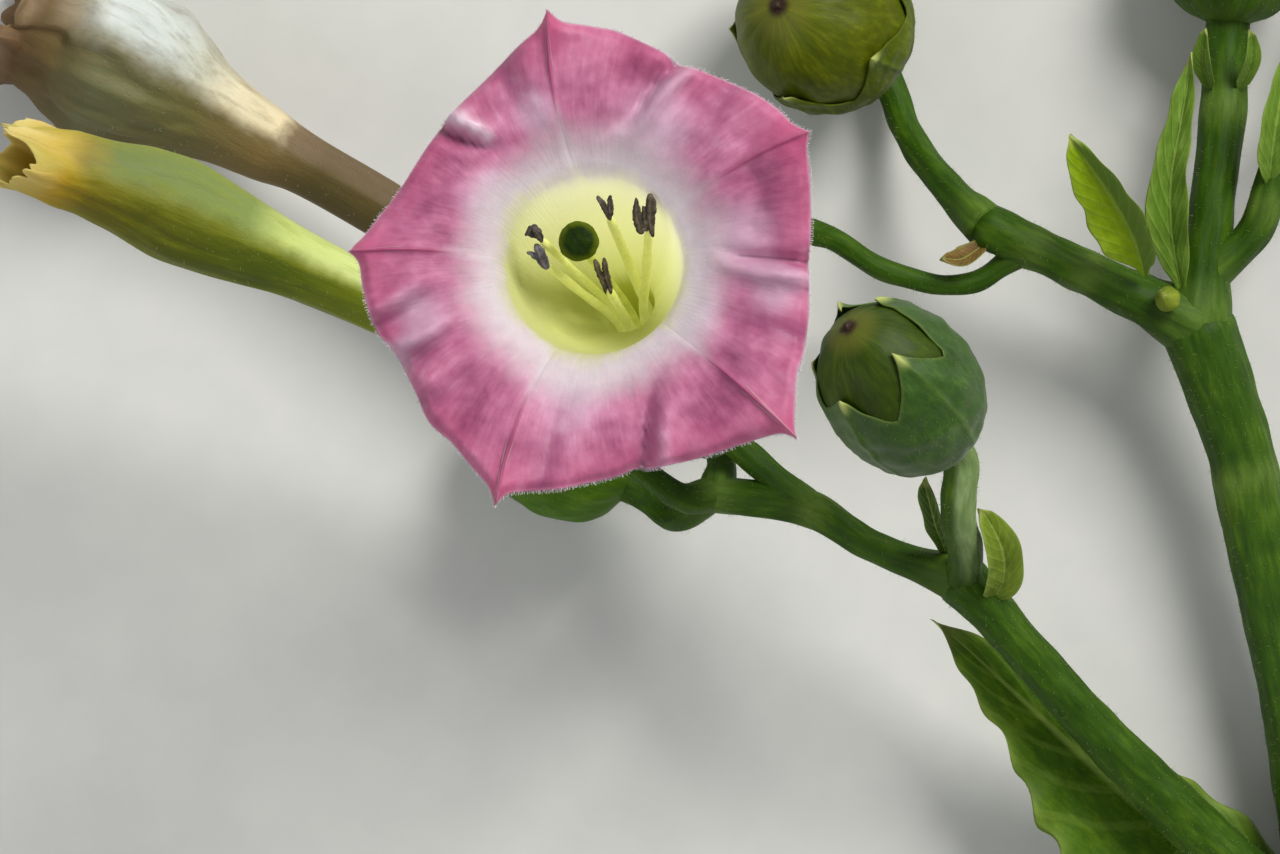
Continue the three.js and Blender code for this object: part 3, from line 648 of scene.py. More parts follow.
# The open flower, end to end.
openFlower = {
    "foot": (4.5, 0.8, 17),
    "bend": (0.4, 4.5, 40.5),
    "mouth": (-3.1, 10.4, 58),
    "lean": 0.17,
    "rise": 3.0,
    # share of the tube's height and its inner radius there
    "bore": [
        (0, 1.1), (0.06, 1.6), (0.15, 1.7), (0.62, 1.7), (0.7, 1.8), (0.76, 2.6),
        (0.83, 3.9), (0.9, 4.85), (0.95, 5.35), (1, 5.75),
    ],
    "kink": (0.2, 0.6, 0),  # how far the tube's entrance lies off its smooth middle line
    "walls": (0.4, 0.14),  # in the tube and at the rim
    "perPetal": 76,  # columns to each petal
    "crowding": 0.8,  # how far they crowd towards the veins
    "drawn": 0.42,  # how far from a corner the limb starts to draw out to its tip
    "gable": 1.5,  # how far a petal falls away from its vein to its fold
    # soft spots, from the mouth: x, y and radius. The pale and deep ones are partly the petals' own
    # colour, partly painted light and shade
    "pale": [
        (4.2, 8.8, 2.8), (-6.5, 3.8, 2.4), (9.4, 1.7, 2.6), (6.2, -3.5, 2.2), (-1.1, -7.7, 3.0),
        (-10.6, -3.4, 1.9), (11.6, -2, 1.6), (-3.4, 9.2, 1.6), (-12.2, -6.6, 1.2),
    ],
    "deep": [
        (1.3, -11.4, 1.6), (10.6, -4.4, 2.4), (-10.2, 5.6, 2.0), (11.4, 5.3, 2.4), (8.6, -8.6, 2.0),
        (3.2, 12.6, 1.8), (-7.6, -9.4, 2.0), (11.2, 2, 1.9),
    ],
    # painted highlight: near-white spots along the first crease's shoulder, where the petal is also
    # glossier
    "shiny": [(-9.1, 9.3, 0.5), (-8.1, 8.9, 0.6), (-7.2, 8.3, 0.5), (-6.5, 7.8, 0.4)],
    # Each petal, clockwise from the top: its corner and tip from the mouth, how far its vein
    # bows clockwise, where along the edge to the next petal the fold meets it, and how far
    # that edge stands off a straight line at shares of the way.
    "petals": [
        dict(corner=(-2.58, 14.81), tip=(-2.7, 15.75), bow=-0.5, fold=0.49, edge=[
            (0, 0), (0.042, 0.39), (0.156, 1.06), (0.267, 1.43), (0.417, 1.35), (0.48, 1.05),
            (0.591, 1.25), (0.75, 1.3), (0.873, 1.01), (0.96, 0.4), (1, 0)]),
        dict(corner=(13.02, 7.82), tip=(13.65, 8.01), bow=-0.45, fold=0.44, edge=[
            (0, 0), (0.047, 0.46), (0.172, 0.78), (0.328, 0.9), (0.44, 0.84), (0.611, 0.93),
            (0.737, 0.66), (0.836, 0.22), (0.928, 0.2), (1, 0)]),
        dict(corner=(12.46, -10.52), tip=(12.77, -11.09), bow=-0.2, fold=0.52, edge=[
            (0, 0), (0.111, 0.19), (0.241, 0.44), (0.355, 0.61), (0.491, 0.56), (0.534, 0.4),
            (0.615, 0.65), (0.785, 0.61), (0.895, 0.36), (1, 0)]),
        dict(corner=(-5.82, -14.46), tip=(-5.89, -15.27), bow=0.6, fold=0.6, edge=[
            (0, 0), (0.118, 0.56), (0.229, 0.89), (0.358, 1.55), (0.475, 1.34), (0.624, 1.29),
            (0.716, 1.56), (0.865, 1.05), (1, 0)]),
        dict(corner=(-14.43, 0.58), tip=(-15.12, 0.58), bow=0.3, fold=0.53, edge=[
            (0, 0), (0.058, 0.45), (0.233, 0.6), (0.443, 1.07), (0.57, 1.17), (0.741, 0.88),
            (0.869, 0.66), (0.96, 0.3), (1, 0)]),
    ],
    # Creases from the rim inwards, from the mouth: both ends, depth, half width, and the side
    # (1 left, -1 right) on which the petal puffs up.
    "creases": [
        dict(rim=(-10.2, 9.0), end=(-4.9, 6.3), depth=1.0, width=0.5, side=1),
        dict(rim=(5.7, 12.5), end=(1.0, 7.9), depth=1.1, width=0.42, side=1),
        dict(rim=(14.2, -0.7), end=(6.9, 1.2), depth=1.1, width=0.4, side=1),
        dict(rim=(3.0, -13.6), end=(4.5, -5.6), depth=0.9, width=0.6, side=-1),
        dict(rim=(-12.8, -6.6), end=(-6.6, -4.0), depth=0.8, width=0.5, side=1),
        dict(rim=(-13.9, -4.2), end=(-8.2, -1.4), depth=0.6, width=0.5, side=1),
        dict(rim=(-11.4, -9.4), end=(-6.8, -6.4), depth=0.4, width=0.5, side=1),
        dict(rim=(12.6, -4.8), end=(5.6, -2.6), depth=0.35, width=0.8, side=1),
        dict(rim=(-3.2, -14.2), end=(-1.0, -6.6), depth=0.3, width=0.7, side=-1),
        dict(rim=(-5.6, 13.2), end=(-3.8, 7.2), depth=0.35, width=0.7, side=1),
        dict(rim=(9.8, 11.6), end=(6.2, 6.2), depth=0.3, width=0.8, side=1),
    ],
}


def tubeStops(share):
    # The tube's middle line, a square curve from foot to mouth drawn aside by bend, plus a kink,
    # and the directions across it, which turn to the limb's own lean near the mouth.
    share = np.atleast_1d(share)[:, None]
    foot, bend, mouth = (np.array(openFlower[key], float) for key in ("foot", "bend", "mouth"))
    middle = (1 - share) ** 2 * foot + 2 * share * (1 - share) * bend + share**2 * mouth
    middle = middle + bell(share - 0.72, 0.15) * openFlower["kink"]
    tangent = unit(2 * (1 - share) * (bend - foot) + 2 * share * (mouth - bend))
    slope = limbSlope()
    normal = unit(np.array([-slope[0], -slope[1], 1]))
    axis = unit(tangent + (normal - tangent) * smoothStep(0.75, 1, share))
    first = unit(np.array([1, 0, 0]) - axis * axis[:, :1])
    return middle, first, np.cross(axis, first)


def limbSlope():
    # The limb rises towards the side on which the tube's foot stands.
    away = np.array(openFlower["foot"][:2]) - openFlower["mouth"][:2]
    return openFlower["lean"] * unit(away)


def petalShares():
    # The places of a petal's columns between its vein and the next.
    return crowded(openFlower["perPetal"], openFlower["crowding"])


def limbEdge():
    # The limb's outline: each edge is the line between two corners plus its bow, and each
    # corner is drawn out to its tip.
    petals, share = openFlower["petals"], petalShares()
    edge = []
    for petal, following in zip(petals, petals[1:] + petals[:1]):
        start, end = np.array(petal["corner"]), np.array(following["corner"])
        length = np.linalg.norm(end - start)
        out = np.array([start[1] - end[1], end[0] - start[0]]) / length
        line = start + (end - start) * share[:, None]
        line += out * readCurve(petal["edge"], share)[:, None]
        for corner, place in ((petal, share), (following, 1 - share)):
            draw = np.exp(-((place * length / openFlower["drawn"]) ** 1.3))
            line += (np.array(corner["tip"]) - corner["corner"]) * draw[:, None]
        edge.append(line)
    return np.vstack(edge)


def perColumn(key):
    # One of the petals' values, blended smoothly from each vein to the next.
    values = np.array([petal[key] for petal in openFlower["petals"]], float)
    share = smoothStep(0, 1, petalShares())
    return np.concatenate([a + (b - a) * share for a, b in zip(values, np.roll(values, -1))])


def creaseHeight(flat):
    # Each crease is a valley with a bell's profile along its line, deep at the rim and fading
    # inwards, with a low shoulder beside it. Also gives how deep in a crease and how far up a
    # shoulder each point lies.
    height = np.zeros(flat.shape[:-1])
    depth = np.zeros_like(height)
    puffed = np.zeros_like(height)
    for crease in openFlower["creases"]:
        rim, end = np.array(crease["rim"]), np.array(crease["end"])
        way = end - rim
        length = np.linalg.norm(way)
        offset = flat - rim
        share = offset @ way / length**2
        aside = (way[0] * offset[..., 1] - way[1] * offset[..., 0]) / length
        aside = aside + 0.25 * np.sin(share * 5 + length)
        fade = (1 - smoothStep(0.3, 1.0, share)) * smoothStep(-0.5, -0.2, share)
        valley = fade * np.exp(-(np.abs(aside / crease["width"]) ** 1.4))
        beside = aside - crease["side"] * 2.1 * crease["width"]
        shoulder = fade * bell(beside, 1.3 * crease["width"])
        height += 1.35 * crease["depth"] * (0.75 * shoulder - valley)
        puffed = np.maximum(puffed, shoulder * min(1, crease["depth"]))
        depth = np.maximum(depth, valley)
    return height, depth, puffed


def spotted(flat, key):
    # How deep each point lies in the soft spots of one kind: the sum of their bells.
    bells = (bell(np.linalg.norm(flat - spot[:2], axis=-1), spot[2]) for spot in openFlower[key])
    return np.clip(sum(bells), 0, 1)


def limbHeight(flat, reach, between, vein, heading):
    # Its lean, plus rise * (1 - (1 - reach) ** 2.5), plus a gable that falls from each vein to
    # the fold between two, plus ridges along the veins, creases and ripples. The rim turns
    # down. Also gives how deep in a crease and how far up its shoulder each point lies.
    height = openFlower["mouth"][2] + flat @ limbSlope()
    height += openFlower["rise"] * (1 - (1 - reach) ** 2.5)
    height += openFlower["gable"] * reach**1.2 * (0.4 - np.sin(1.4 * between) ** 0.9)
    creases, crease, puffed = creaseHeight(flat)
    height += creases * smoothStep(0.05, 0.4, reach)
    grown = smoothStep(0.1, 0.7, reach)
    height += grown * (0.34 * np.exp(-vein / 0.5) + 0.12 * bell(vein, 0.18))
    height += 0.15 * grown * ripples(flat, 3.4, 3) + 0.02 * grown * ripples(flat, 1.3, 4)
    turnedDown = 0.4 * smoothStep(0.9, 1.0, reach) ** 2
    height += 0.22 * reach**4 * ripples(heading * 9, 6.0, 5) - turnedDown
    return height, crease, puffed


def openPetals():
    # The inner wall and then the outer one, on one grid. Its columns stand at the turns of the
    # limb's outline. Its rows run up the tube, and then over the limb: lip + (edge - lip) *
    # reach, with each vein bowed clockwise by bow * 4 * reach * (1 - reach).
    edge, share = limbEdge(), np.tile(petalShares(), 5)
    turns = np.arctan2(edge[:, 1], edge[:, 0])
    heading = np.stack([np.cos(turns), np.sin(turns)], 1)
    mouth = np.array(openFlower["mouth"])
    # the tube and the throat, from the foot up to the lip
    shares = np.concatenate([np.linspace(0.02, 0.6, 10), np.linspace(0.63, 0.985, 28)])
    middle, first, second = tubeStops(shares)
    bore = readCurve(openFlower["bore"], shares)[:, None]
    tube = sweep(middle, (first, second), turns, bore)
    # the limb, from the lip out to the rim
    reach = np.linspace(0, 1, 84)[:, None]
    lip = openFlower["bore"][-1][1]
    flat = lip * heading + (edge - lip * heading) * reach[..., None]
    clockwise = np.stack([heading[:, 1], -heading[:, 0]], 1)
    flat = flat + clockwise * (perColumn("bow") * 4 * reach * (1 - reach))[..., None]
    count = openFlower["perPetal"]
    fold = np.repeat([petal["fold"] for petal in openFlower["petals"]], count)
    between = np.where(share < fold, share / fold, (1 - share) / (1 - fold))
    veinColumns = np.arange(5) * count
    vein = np.minimum(*(
        np.linalg.norm(flat - flat[:, np.repeat(ends, count)], axis=-1)
        for ends in (veinColumns, np.roll(veinColumns, -1))
    ))
    height, crease, puffed = limbHeight(flat, reach, between, vein, heading)
    inner = np.concatenate([tube, np.concatenate([mouth[:2] + flat, height[..., None]], -1)])
    # rounds off the lip: each row near it becomes a mean of itself and its neighbours
    start, reachRound = len(shares), 8
    near = slice(start - reachRound, start + reachRound + 1)
    for _ in range(16):
        lower = inner[near.start - 1 : near.stop - 1]
        inner[near] = (lower + 2 * inner[near] + inner[near.start + 1 : near.stop + 1]) / 4
    out = gridNormals(inner)
    out *= -np.sign(out[-20, 0, 2])
    tubeShare = 0.36  # the share of the tube that a reach of one takes up below the lip
    reaches = np.concatenate([(shares[:, None] - 1) / tubeShare, reach])
    tubeWall, rimWall = openFlower["walls"]
    thick = tubeWall + (rimWall - tubeWall) * smoothStep(0.4, 1, reaches)
    # the outer wall has every row of the lower tube, and every second one above
    last = len(inner) - 1
    keep = np.concatenate([np.arange(0, 10, 1), np.arange(10, last - 2, 2), [last]])[::-1]
    outer = (inner + out * thick[..., None])[keep]
    petalTurn = 1.25  # about a fifth of a turn, in radians
    fromVein = np.concatenate([bore * np.abs(np.minimum(share, 1 - share)) * petalTurn, vein])
    noCrease = np.zeros((start, len(edge)))
    creased = np.concatenate([noCrease, crease * smoothStep(0.3, 0.7, reach)])
    flatAll = inner[..., :2] - mouth[:2]
    tips = np.array([petal["tip"] for petal in openFlower["petals"]])
    toTip = np.linalg.norm(inner[:, :, None, :2] - (mouth[:2] + tips), axis=-1).min(-1)
    spots = triple(*(spotted(flatAll, key) for key in ("pale", "deep", "shiny")))
    # painted highlight: the creases' puffed shoulders are made paler
    paler = 0.55 * puffed * smoothStep(0.2, 0.5, reach)
    spots[start:, :, 0] = np.clip(spots[start:, :, 0] + paler, 0, 1)
    inside, outside = triple(reaches, fromVein, 0), triple(reaches, fromVein, 1)
    shape = Shape()
    shape.add(
        np.concatenate([inner, outer]),
        skin=backed(triple(heading[:, 0], heading[:, 1], reaches), keep),
        mark=np.concatenate([inside, outside[keep]]),
        fold=backed(triple(between, creased, bell(toTip, 1.8)), keep),
        spots=backed(spots, keep),
    )
    shape.make("openPetals", [petalFinish()], ["corolla_pink"])
    print("open petals made")
    return inner, out


def addHairs(shape, roots, ways, lengths, thick, rng, rings=((0, 1), (0.55, 0.6))):
    # Each hair is a three-sided spike that leans over as it rises, root + (way * along + side *
    # droop * along ** 2) * length: rings of three points at shares of its length, each a share
    # of its thickness, and a point.
    droop, aboveFloor = 0.16, 0.1
    count = len(roots)
    ways = unit(ways)
    side = unit(np.cross(ways, rng.normal(size=(count, 3))))
    other = np.cross(ways, side)
    turns = np.arange(3) * 2 * np.pi / 3
    around = side[:, None] * np.cos(turns)[:, None] + other[:, None] * np.sin(turns)[:, None]
    rows = []
    for along, width in rings:
        middle = roots + (ways * along + side * droop * along**2) * lengths[:, None]
        rows.append(middle[:, None] + around * thick * width)
    rows.append((roots + (ways + side * droop) * lengths[:, None])[:, None])
    points = np.concatenate(rows, 1)
    points[..., 2] = np.maximum(points[..., 2], aboveFloor - shift[2])
    size = points.shape[1]
    last = 3 * (len(rings) - 1)
    lower = np.concatenate([[3 * r, 3 * r + 1, 3 * r + 2] for r in range(len(rings) - 1)])
    following = lower // 3 * 3 + (lower + 1) % 3
    quads = np.stack([lower, following, following + 3, lower + 3], 1)
    ends = [[0, 2, 1]] + [[last + j, last + (j + 1) % 3, size - 1] for j in range(3)]
    start = (np.arange(count) * size)[:, None, None]
    alongs = np.append(np.repeat([along for along, _ in rings], 3), 1)
    mark = triple(alongs[None], rng.uniform(0, 1, (count, 1)), 0).reshape(-1, 3)
    quads = (quads + start).reshape(-1, 4)
    triangles = (np.array(ends) + start).reshape(-1, 3)
    shape.join(points.reshape(-1, 3), quads, triangles, 0, {"mark": mark})


def scatter(points, normals, perArea, rng, keep=1):
    # Random places on a grid's surface, as many to each square millimetre, and the normals
    # there. keep is each face's share of them.
    right, rightNormals = np.roll(points, -1, 1), np.roll(normals, -1, 1)
    area = np.linalg.norm(np.cross(right[:-1] - points[:-1], points[1:] - points[:-1]), axis=-1)
    area = area * keep
    chosen = rng.choice(area.size, int(area.sum() * perArea), p=(area / area.sum()).ravel())
    i, j = np.unravel_index(chosen, area.shape)
    f, g = rng.uniform(0, 1, (2, len(i), 1))

    def blend(grid, gridRight):
        low = grid[i, j] * (1 - g) + gridRight[i, j] * g
        return low * (1 - f) + (grid[i + 1, j] * (1 - g) + gridRight[i + 1, j] * g) * f

    return blend(points, right), unit(blend(normals, rightNormals))


def petalHairs(inner, out):
    # A fringe of fine hairs with round heads on the rim, and sparse ones on the tube.
    rng = np.random.default_rng(21)
    rim, before = inner[-1], inner[-4]
    count, tubeRows = 2000, 44
    place = (np.arange(count) + rng.uniform(0.1, 0.9, count)) / count
    lengths = np.linalg.norm(np.roll(rim, -1, 0) - rim, axis=1)
    walked = np.concatenate([[0], np.cumsum(lengths)]) / lengths.sum()
    outward = unit(rim - before)
    roots, ways, down = (
        np.stack([np.interp(place, walked, column) for column in np.vstack([row, row[:1]]).T], 1)
        for row in (rim, outward, out[-1])
    )
    roots += down * rng.uniform(0.0, 0.12, (count, 1)) - ways * 0.04
    ways = ways + down * rng.normal(0.05, 0.35, (count, 1)) + rng.normal(0, 0.14, (count, 3))
    shape = Shape()
    glands = ((0, 1), (0.78, 0.55), (0.92, 1.25))
    addHairs(shape, roots, ways, rng.uniform(0.14, 0.3, count), 0.021, rng, glands)
    tube = inner[:tubeRows] + out[:tubeRows] * openFlower["walls"][0]
    roots, ways = scatter(tube, out[:tubeRows], 2.0, rng)
    ways = ways + rng.normal(0, 0.3, ways.shape)
    addHairs(shape, roots, ways, rng.uniform(0.25, 0.6, len(roots)), 0.02, rng)
    look = hairFinish("petalHair", (220, 184, 204), (238, 228, 234))
    shape.make("petalHairs", [look])
    print("petal hairs made")


# Stamens: the angle at which each stands in the tube, the point in its anther where the thread
# ends, and its pollen sacs, each as (foot, tip, radius, how much wider its tip is). tint is how
# grey they are. ring is how far from the tube's middle the threads stand, at those shares of
# its height, and radius a thread's own, below and above.
stamens = {
    "ring": 1.15,
    "shares": (0.22, 0.35, 0.5, 0.7),
    "radius": (0.3, 0.28),
    "all": [
        dict(stand=30, heel=(-1.97, 13.3, 57), tint=0.35, sacs=[
            ((-1.92, 13, 56.9), (-2.62, 14.56, 57.7), 0.21, 0.5),
            ((-1.84, 12.98, 56.9), (-1.83, 14.56, 57.7), 0.2, 0.3)]),
        dict(stand=333, heel=(0.56, 12.35, 57.3), tint=0.2, sacs=[
            ((0.03, 12.1, 57.3), (-0.24, 14.42, 57.8), 0.31, -0.9),
            ((0.84, 11.92, 57.3), (0.57, 14.68, 57.8), 0.33, 0.6),
            ((0.4, 12.3, 57.3), (0.2, 13.9, 57.7), 0.27, -0.3)]),
        dict(stand=172, heel=(-6.3, 11.85, 57.4), tint=0.5, sacs=[
            ((-7.17, 11.98, 57.6), (-6.72, 12.6, 57.8), 0.19, 0.2),
            ((-6.1, 11.62, 57.3), (-6.78, 12.68, 57.8), 0.27, 0.5),
            ((-6.5, 11.85, 57.3), (-7.0, 12.3, 57.6), 0.2, 0.2)]),
        dict(stand=216, heel=(-5.94, 10.25, 56.6), tint=0.9, sacs=[
            ((-5.78, 9.97, 56.6), (-6.64, 11.5, 57.1), 0.36, -0.2),
            ((-6.5, 10.55, 56.8), (-7.1, 11.04, 57), 0.15, 0.2)]),
        dict(stand=275, heel=(-2, 8.7, 55.1), tint=0.1, sacs=[
            ((-2.12, 8.42, 55), (-2.89, 10.58, 55.9), 0.21, 0.4),
            ((-1.9, 8.38, 55), (-2.27, 10.7, 55.9), 0.21, 0.2)]),
    ],
}


def pollenSac(shape, foot, tip, radius, taper, tint, seed):
    # A bean: rings along the line from foot to tip, with radius * sin ** 0.4 * (1 + taper *
    # (share - 0.5)) and a slit with two lips along its top. Its skin is grainy.
    share = np.linspace(0.008, 0.992, 44)
    way = np.array(tip) - foot
    length = np.linalg.norm(way)
    way, aside = way / length, unit(np.cross(way, (0, 0, 1)))
    bend = 0.03 * np.sin(7 * share + seed) + 0.05 * np.sin(3 * share + 2 * seed)
    path = np.array(foot) + way * (share * length)[:, None] + aside * bend[:, None]
    turns = circle(36)
    swell = 1 + taper * (share - 0.5) + 0.05 * np.sin(9 * share + seed)
    swell = np.sin(np.pi * share) ** 0.4 * swell
    slit = np.sin(np.pi * share)[:, None] ** 0.6
    fromTop, lipTurn = turns - np.pi / 2, 0.62
    groove = bell(fromTop, 0.3) * slit
    lips = (bell(fromTop - lipTurn, 0.22) + bell(fromTop + lipTurn, 0.22)) * slit
    rings = radius * swell[:, None] * (1 - 0.4 * groove + 0.1 * lips)
    grid = sweep(path, (aside, np.cross(aside, way)), turns, rings)
    grain = 0.02 * ripples(grid, 0.4, seed) + 0.01 * ripples(grid, 0.17, seed + 1)
    grid += (grid - path[:, None]) * grain[..., None] / radius
    shape.add(grid, paint=1, mark=triple(tint, groove, lips))


def sacFinish():
    # mark holds (0 brown to 1 grey, slit, lips of the slit).
    finish = Finish("pollenSac", Specular_IOR_Level=0.4)
    tint, slit, lips = finish.channels("mark")
    cloud = finish.noise(finish.place(), 1500.0, 3, 0.6)
    grain = finish.cells(finish.place(), 9000.0)
    brown = finish.ramp(cloud, (0.32, (40, 34, 14)), (0.5, (70, 60, 30)), (0.68, (104, 88, 54)))
    grey = finish.ramp(cloud, (0.32, (52, 50, 58)), (0.5, (84, 82, 92)), (0.68, (132, 130, 138)))
    tone = finish.over(
        finish.mix(tint, brown, grey),
        (slit * 0.5, (112, 96, 66)),
        (lips * 0.5, (30, 26, 18)),
        (grain * 0.3, (22, 18, 14)),
    )
    finish.feed("Base Color", tone)
    finish.feed("Roughness", 0.62 + grain * 0.2)
    finish.relief((cloud, 0.06, 0.6), (grain, 0.04, 0.7))
    return finish


def thread(shape, path, far, turns, radius):
    # A ring swept along a path. mark holds how far along each row lies.
    mark = triple((far / far[-1])[:, None], 0 * turns, 0)
    shape.add(sweep(path, carriedSides(path)[1:], turns, radius), mark=mark)


def stamenSkins():
    # Each thread stands off the tube's middle, middle + ring * (first * cos + second * sin),
    # and leans over to its heel. It thins upwards and has a few shallow flutes.
    threadLook = stamenFinish(
        "paleThread", (0.3, (204, 208, 104)), (0.55, (218, 220, 130)), (0.75, (228, 230, 166))
    )
    sacLook = sacFinish()
    turns = circle(20)
    for number, sizes in enumerate(stamens["all"], 1):
        middle, first, second = tubeStops(stamens["shares"])
        stand = np.radians(sizes["stand"])
        wall = middle + stamens["ring"] * (first * np.cos(stand) + second * np.sin(stand))
        heel = np.array(sizes["heel"])
        path, far = evenPath(np.vstack([wall, (wall[-1] + heel) / 2, heel]), 90)
        share = far / far[-1]
        below, above = stamens["radius"]
        thick = (below + (above - below) * share) * (1 - 0.5 * smoothStep(0.97, 1, share))
        radius = thick[:, None] * (1 + 0.08 * np.cos(2 * turns + number) + 0.05 * np.cos(3 * turns))
        radius = radius * (1 + 0.04 * ripples(path, 2.2, number)[:, None])
        shape = Shape()
        thread(shape, path, far, turns, radius)
        for place, (foot, tip, wide, taper) in enumerate(sizes["sacs"]):
            pollenSac(shape, foot, tip, wide, taper, sizes["tint"], 10 * number + place)
        shape.make(f"skinStamen{number}", [threadLook, sacLook], [f"stamen_{number}"])
    print("stamens made")


# The pistil: the shares of the tube's height through which its style runs, the style's radius,
# the ovary at its foot, and the stigma on top, flat being its height against its width.
pistil = {
    "shares": (0.045, 0.3, 0.5, 0.7),
    "style": 0.28,
    "ovary": (1.05, 3.6),  # radius and height
    "stigma": dict(middle=(-3.86, 11.67, 57.3), radius=1.27, flat=0.66),
}


def pistilSkin():
    # A style swept up the tube, an egg at its foot and a knob with a shallow groove on top:
    # rings of radius * sin ** 0.86, from -radius * flat * cos up.
    styleLook = stamenFinish(
        "style", (0.3, (170, 182, 70)), (0.55, (198, 204, 100)), (0.75, (216, 220, 130))
    )
    middle = tubeStops(pistil["shares"])[0]
    stigma = pistil["stigma"]
    top = np.array(stigma["middle"])
    path, far = evenPath(np.vstack([middle, (middle[-1] + top) / 2, top]), 100)
    turns = circle(20)
    swell = 1 + 0.5 * smoothStep(0.95, 1, far / far[-1])
    radius = pistil["style"] * (1 + 0.05 * np.cos(2 * turns)) * swell[:, None]
    shape = Shape()
    thread(shape, path, far, turns, radius)
    wide, tall = pistil["ovary"]
    share = np.linspace(0.02, 0.98, 30)[:, None]
    axis = unit(path[3] - path[0])
    radius = eggRadius(share, wide) * (1 - 0.06 * bell(np.sin(turns), 0.2))
    egg = sweep(path[0] + axis * (share * tall), levelSides(axis), turns, radius)
    shape.add(egg, mark=triple(share, 0 * turns, 0))
    # the knob, from its underside up, domed and dimpled in its middle
    rise = np.linspace(0.02, 0.985, 44)
    turns = circle(72)
    angle = np.pi * rise[:, None]
    lobed = 1 + 0.015 * np.cos(3 * turns + 0.6) + 0.012 * np.cos(7 * turns)
    out = stigma["radius"] * np.sin(angle) ** 0.86 * lobed
    up = -stigma["radius"] * stigma["flat"] * np.cos(angle) * np.ones(len(turns))
    knob = np.stack([out * np.cos(turns), out * np.sin(turns), up], -1)
    groove = bell(knob[..., 0] * 0.8 + knob[..., 1] * 0.6, 0.13)
    groove = groove * smoothStep(0.55, 0.75, rise)[:, None]
    dimple = bell(np.linalg.norm(knob[..., :2], axis=-1), 0.55)
    dimple = dimple * smoothStep(0.6, 0.8, rise)[:, None]
    knob[..., 2] -= 0.015 * groove + 0.08 * dimple
    knob += 0.012 * ripples(knob, 0.5, 8)[..., None] * unit(knob)
    rim = smoothStep(0.62, 0.95, out / stigma["radius"])
    shape.add(knob + top, paint=1, mark=triple(rim, groove, rise[:, None]))
    shape.make("skinPistil", [styleLook, stigmaFinish()], ["pistil"])
    print("pistil made")


def stigmaFinish():
    # mark holds (rim, groove, height). The rim and the underside are paler. The groove is darker,
    # painted shade.
    finish = Finish("stigma", Specular_IOR_Level=0.1)
    rim, groove, height = finish.channels("mark")
    cloud = finish.noise(finish.place(), 1300.0, 3, 0.6)
    grain = finish.cells(finish.place(), 6500.0)
    tone = finish.over(
        finish.ramp(cloud, (0.34, (14, 32, 0)), (0.52, (22, 42, 0)), (0.7, (34, 54, 0))),
        (rim * 0.85, (84, 98, 2)),
        (groove * 0.5, (8, 20, 0)),
        ((1 - finish.between(height, 0.2, 0.5)) * 0.7, (96, 112, 32)),
    )
    finish.feed("Base Color", tone)
    finish.feed("Roughness", 0.5 + cloud * 0.2)
    finish.relief((cloud, 0.08, 0.6), (grain, 0.05, 0.6))
    return finish


# Fruits: foot, nose and radius of each capsule, its calyx's teeth as (turn in degrees, how far
# up the fruit the tip reaches, how far it stands off), and the notches that follow them. seam
# is the turn of the capsule's seam, falls where between two tips a notch lies, and climbs the
# power by which the edge rises from it.
fruits = {
    "near": dict(
        foot=(20.8, -1.1, 24.8), nose=(13.75, 6.65, 33.4), radius=4.95, seam=20,
        teeth=[(22, 0.95, 0.45), (76, 1.02, 1.8), (144, 0.84, 0.08), (211, 0.82, 0.3), (286, 0.89, 0.15)],
        notches=[0.8, 0.76, 0.7, 0.62, 0.64], falls=[0.5, 0.5, 0.5, 0.5, 0.34],
        climbs=[1.3, 1.3, 1.2, 1.1, 0.42],
    ),
    "behind": dict(
        foot=(-0.8, -4.1, 5.8), nose=(-11.2, 0.8, 4.9), radius=4.2, seam=70,
        teeth=[(20, 0.88, 0.4), (90, 0.84, 0.3), (166, 0.9, 0.5), (238, 0.82, 0.3), (306, 0.86, 0.4)],
        notches=[0.6, 0.55, 0.62, 0.58, 0.6],
    ),
    "top": dict(
        foot=(15.8, 27.2, 2.7), nose=(9.5, 29.1, 14), radius=5.9, seam=50,
        teeth=[(40, 0.72, 0.5), (110, 0.66, 0.35), (186, 0.74, 0.5), (255, 0.68, 0.4), (328, 0.7, 0.5)],
        notches=[0.42, 0.4, 0.44, 0.4, 0.42],
    ),
    "right": dict(
        foot=(41.2, 28.3, 6.1), nose=(42.2, 42, 5.9), radius=5.2, seam=10,
        teeth=[(10, 0.84, 0.4), (80, 0.8, 0.5), (156, 0.86, 0.3), (228, 0.78, 0.4), (298, 0.82, 0.5)],
        notches=[0.55, 0.52, 0.58, 0.54, 0.55],
    ),
    "far": dict(
        foot=(51.1, 26.5, 8.5), nose=(58.2, 35, 7), radius=4.4, seam=80,
        teeth=[(30, 0.88, 0.4), (102, 0.84, 0.3), (172, 0.9, 0.5), (248, 0.82, 0.4), (318, 0.86, 0.3)],
        notches=[0.6, 0.56, 0.6, 0.55, 0.58],
    ),
    "hidden": dict(
        foot=(9.3, 15, 15), nose=(4.7, 19.8, 20), radius=3.5, seam=30,
        teeth=[(0, 0.9, 0.4), (72, 0.86, 0.3), (144, 0.92, 0.4), (216, 0.84, 0.3), (288, 0.88, 0.4)],
        notches=[0.6, 0.58, 0.6, 0.56, 0.6],
    ),
}

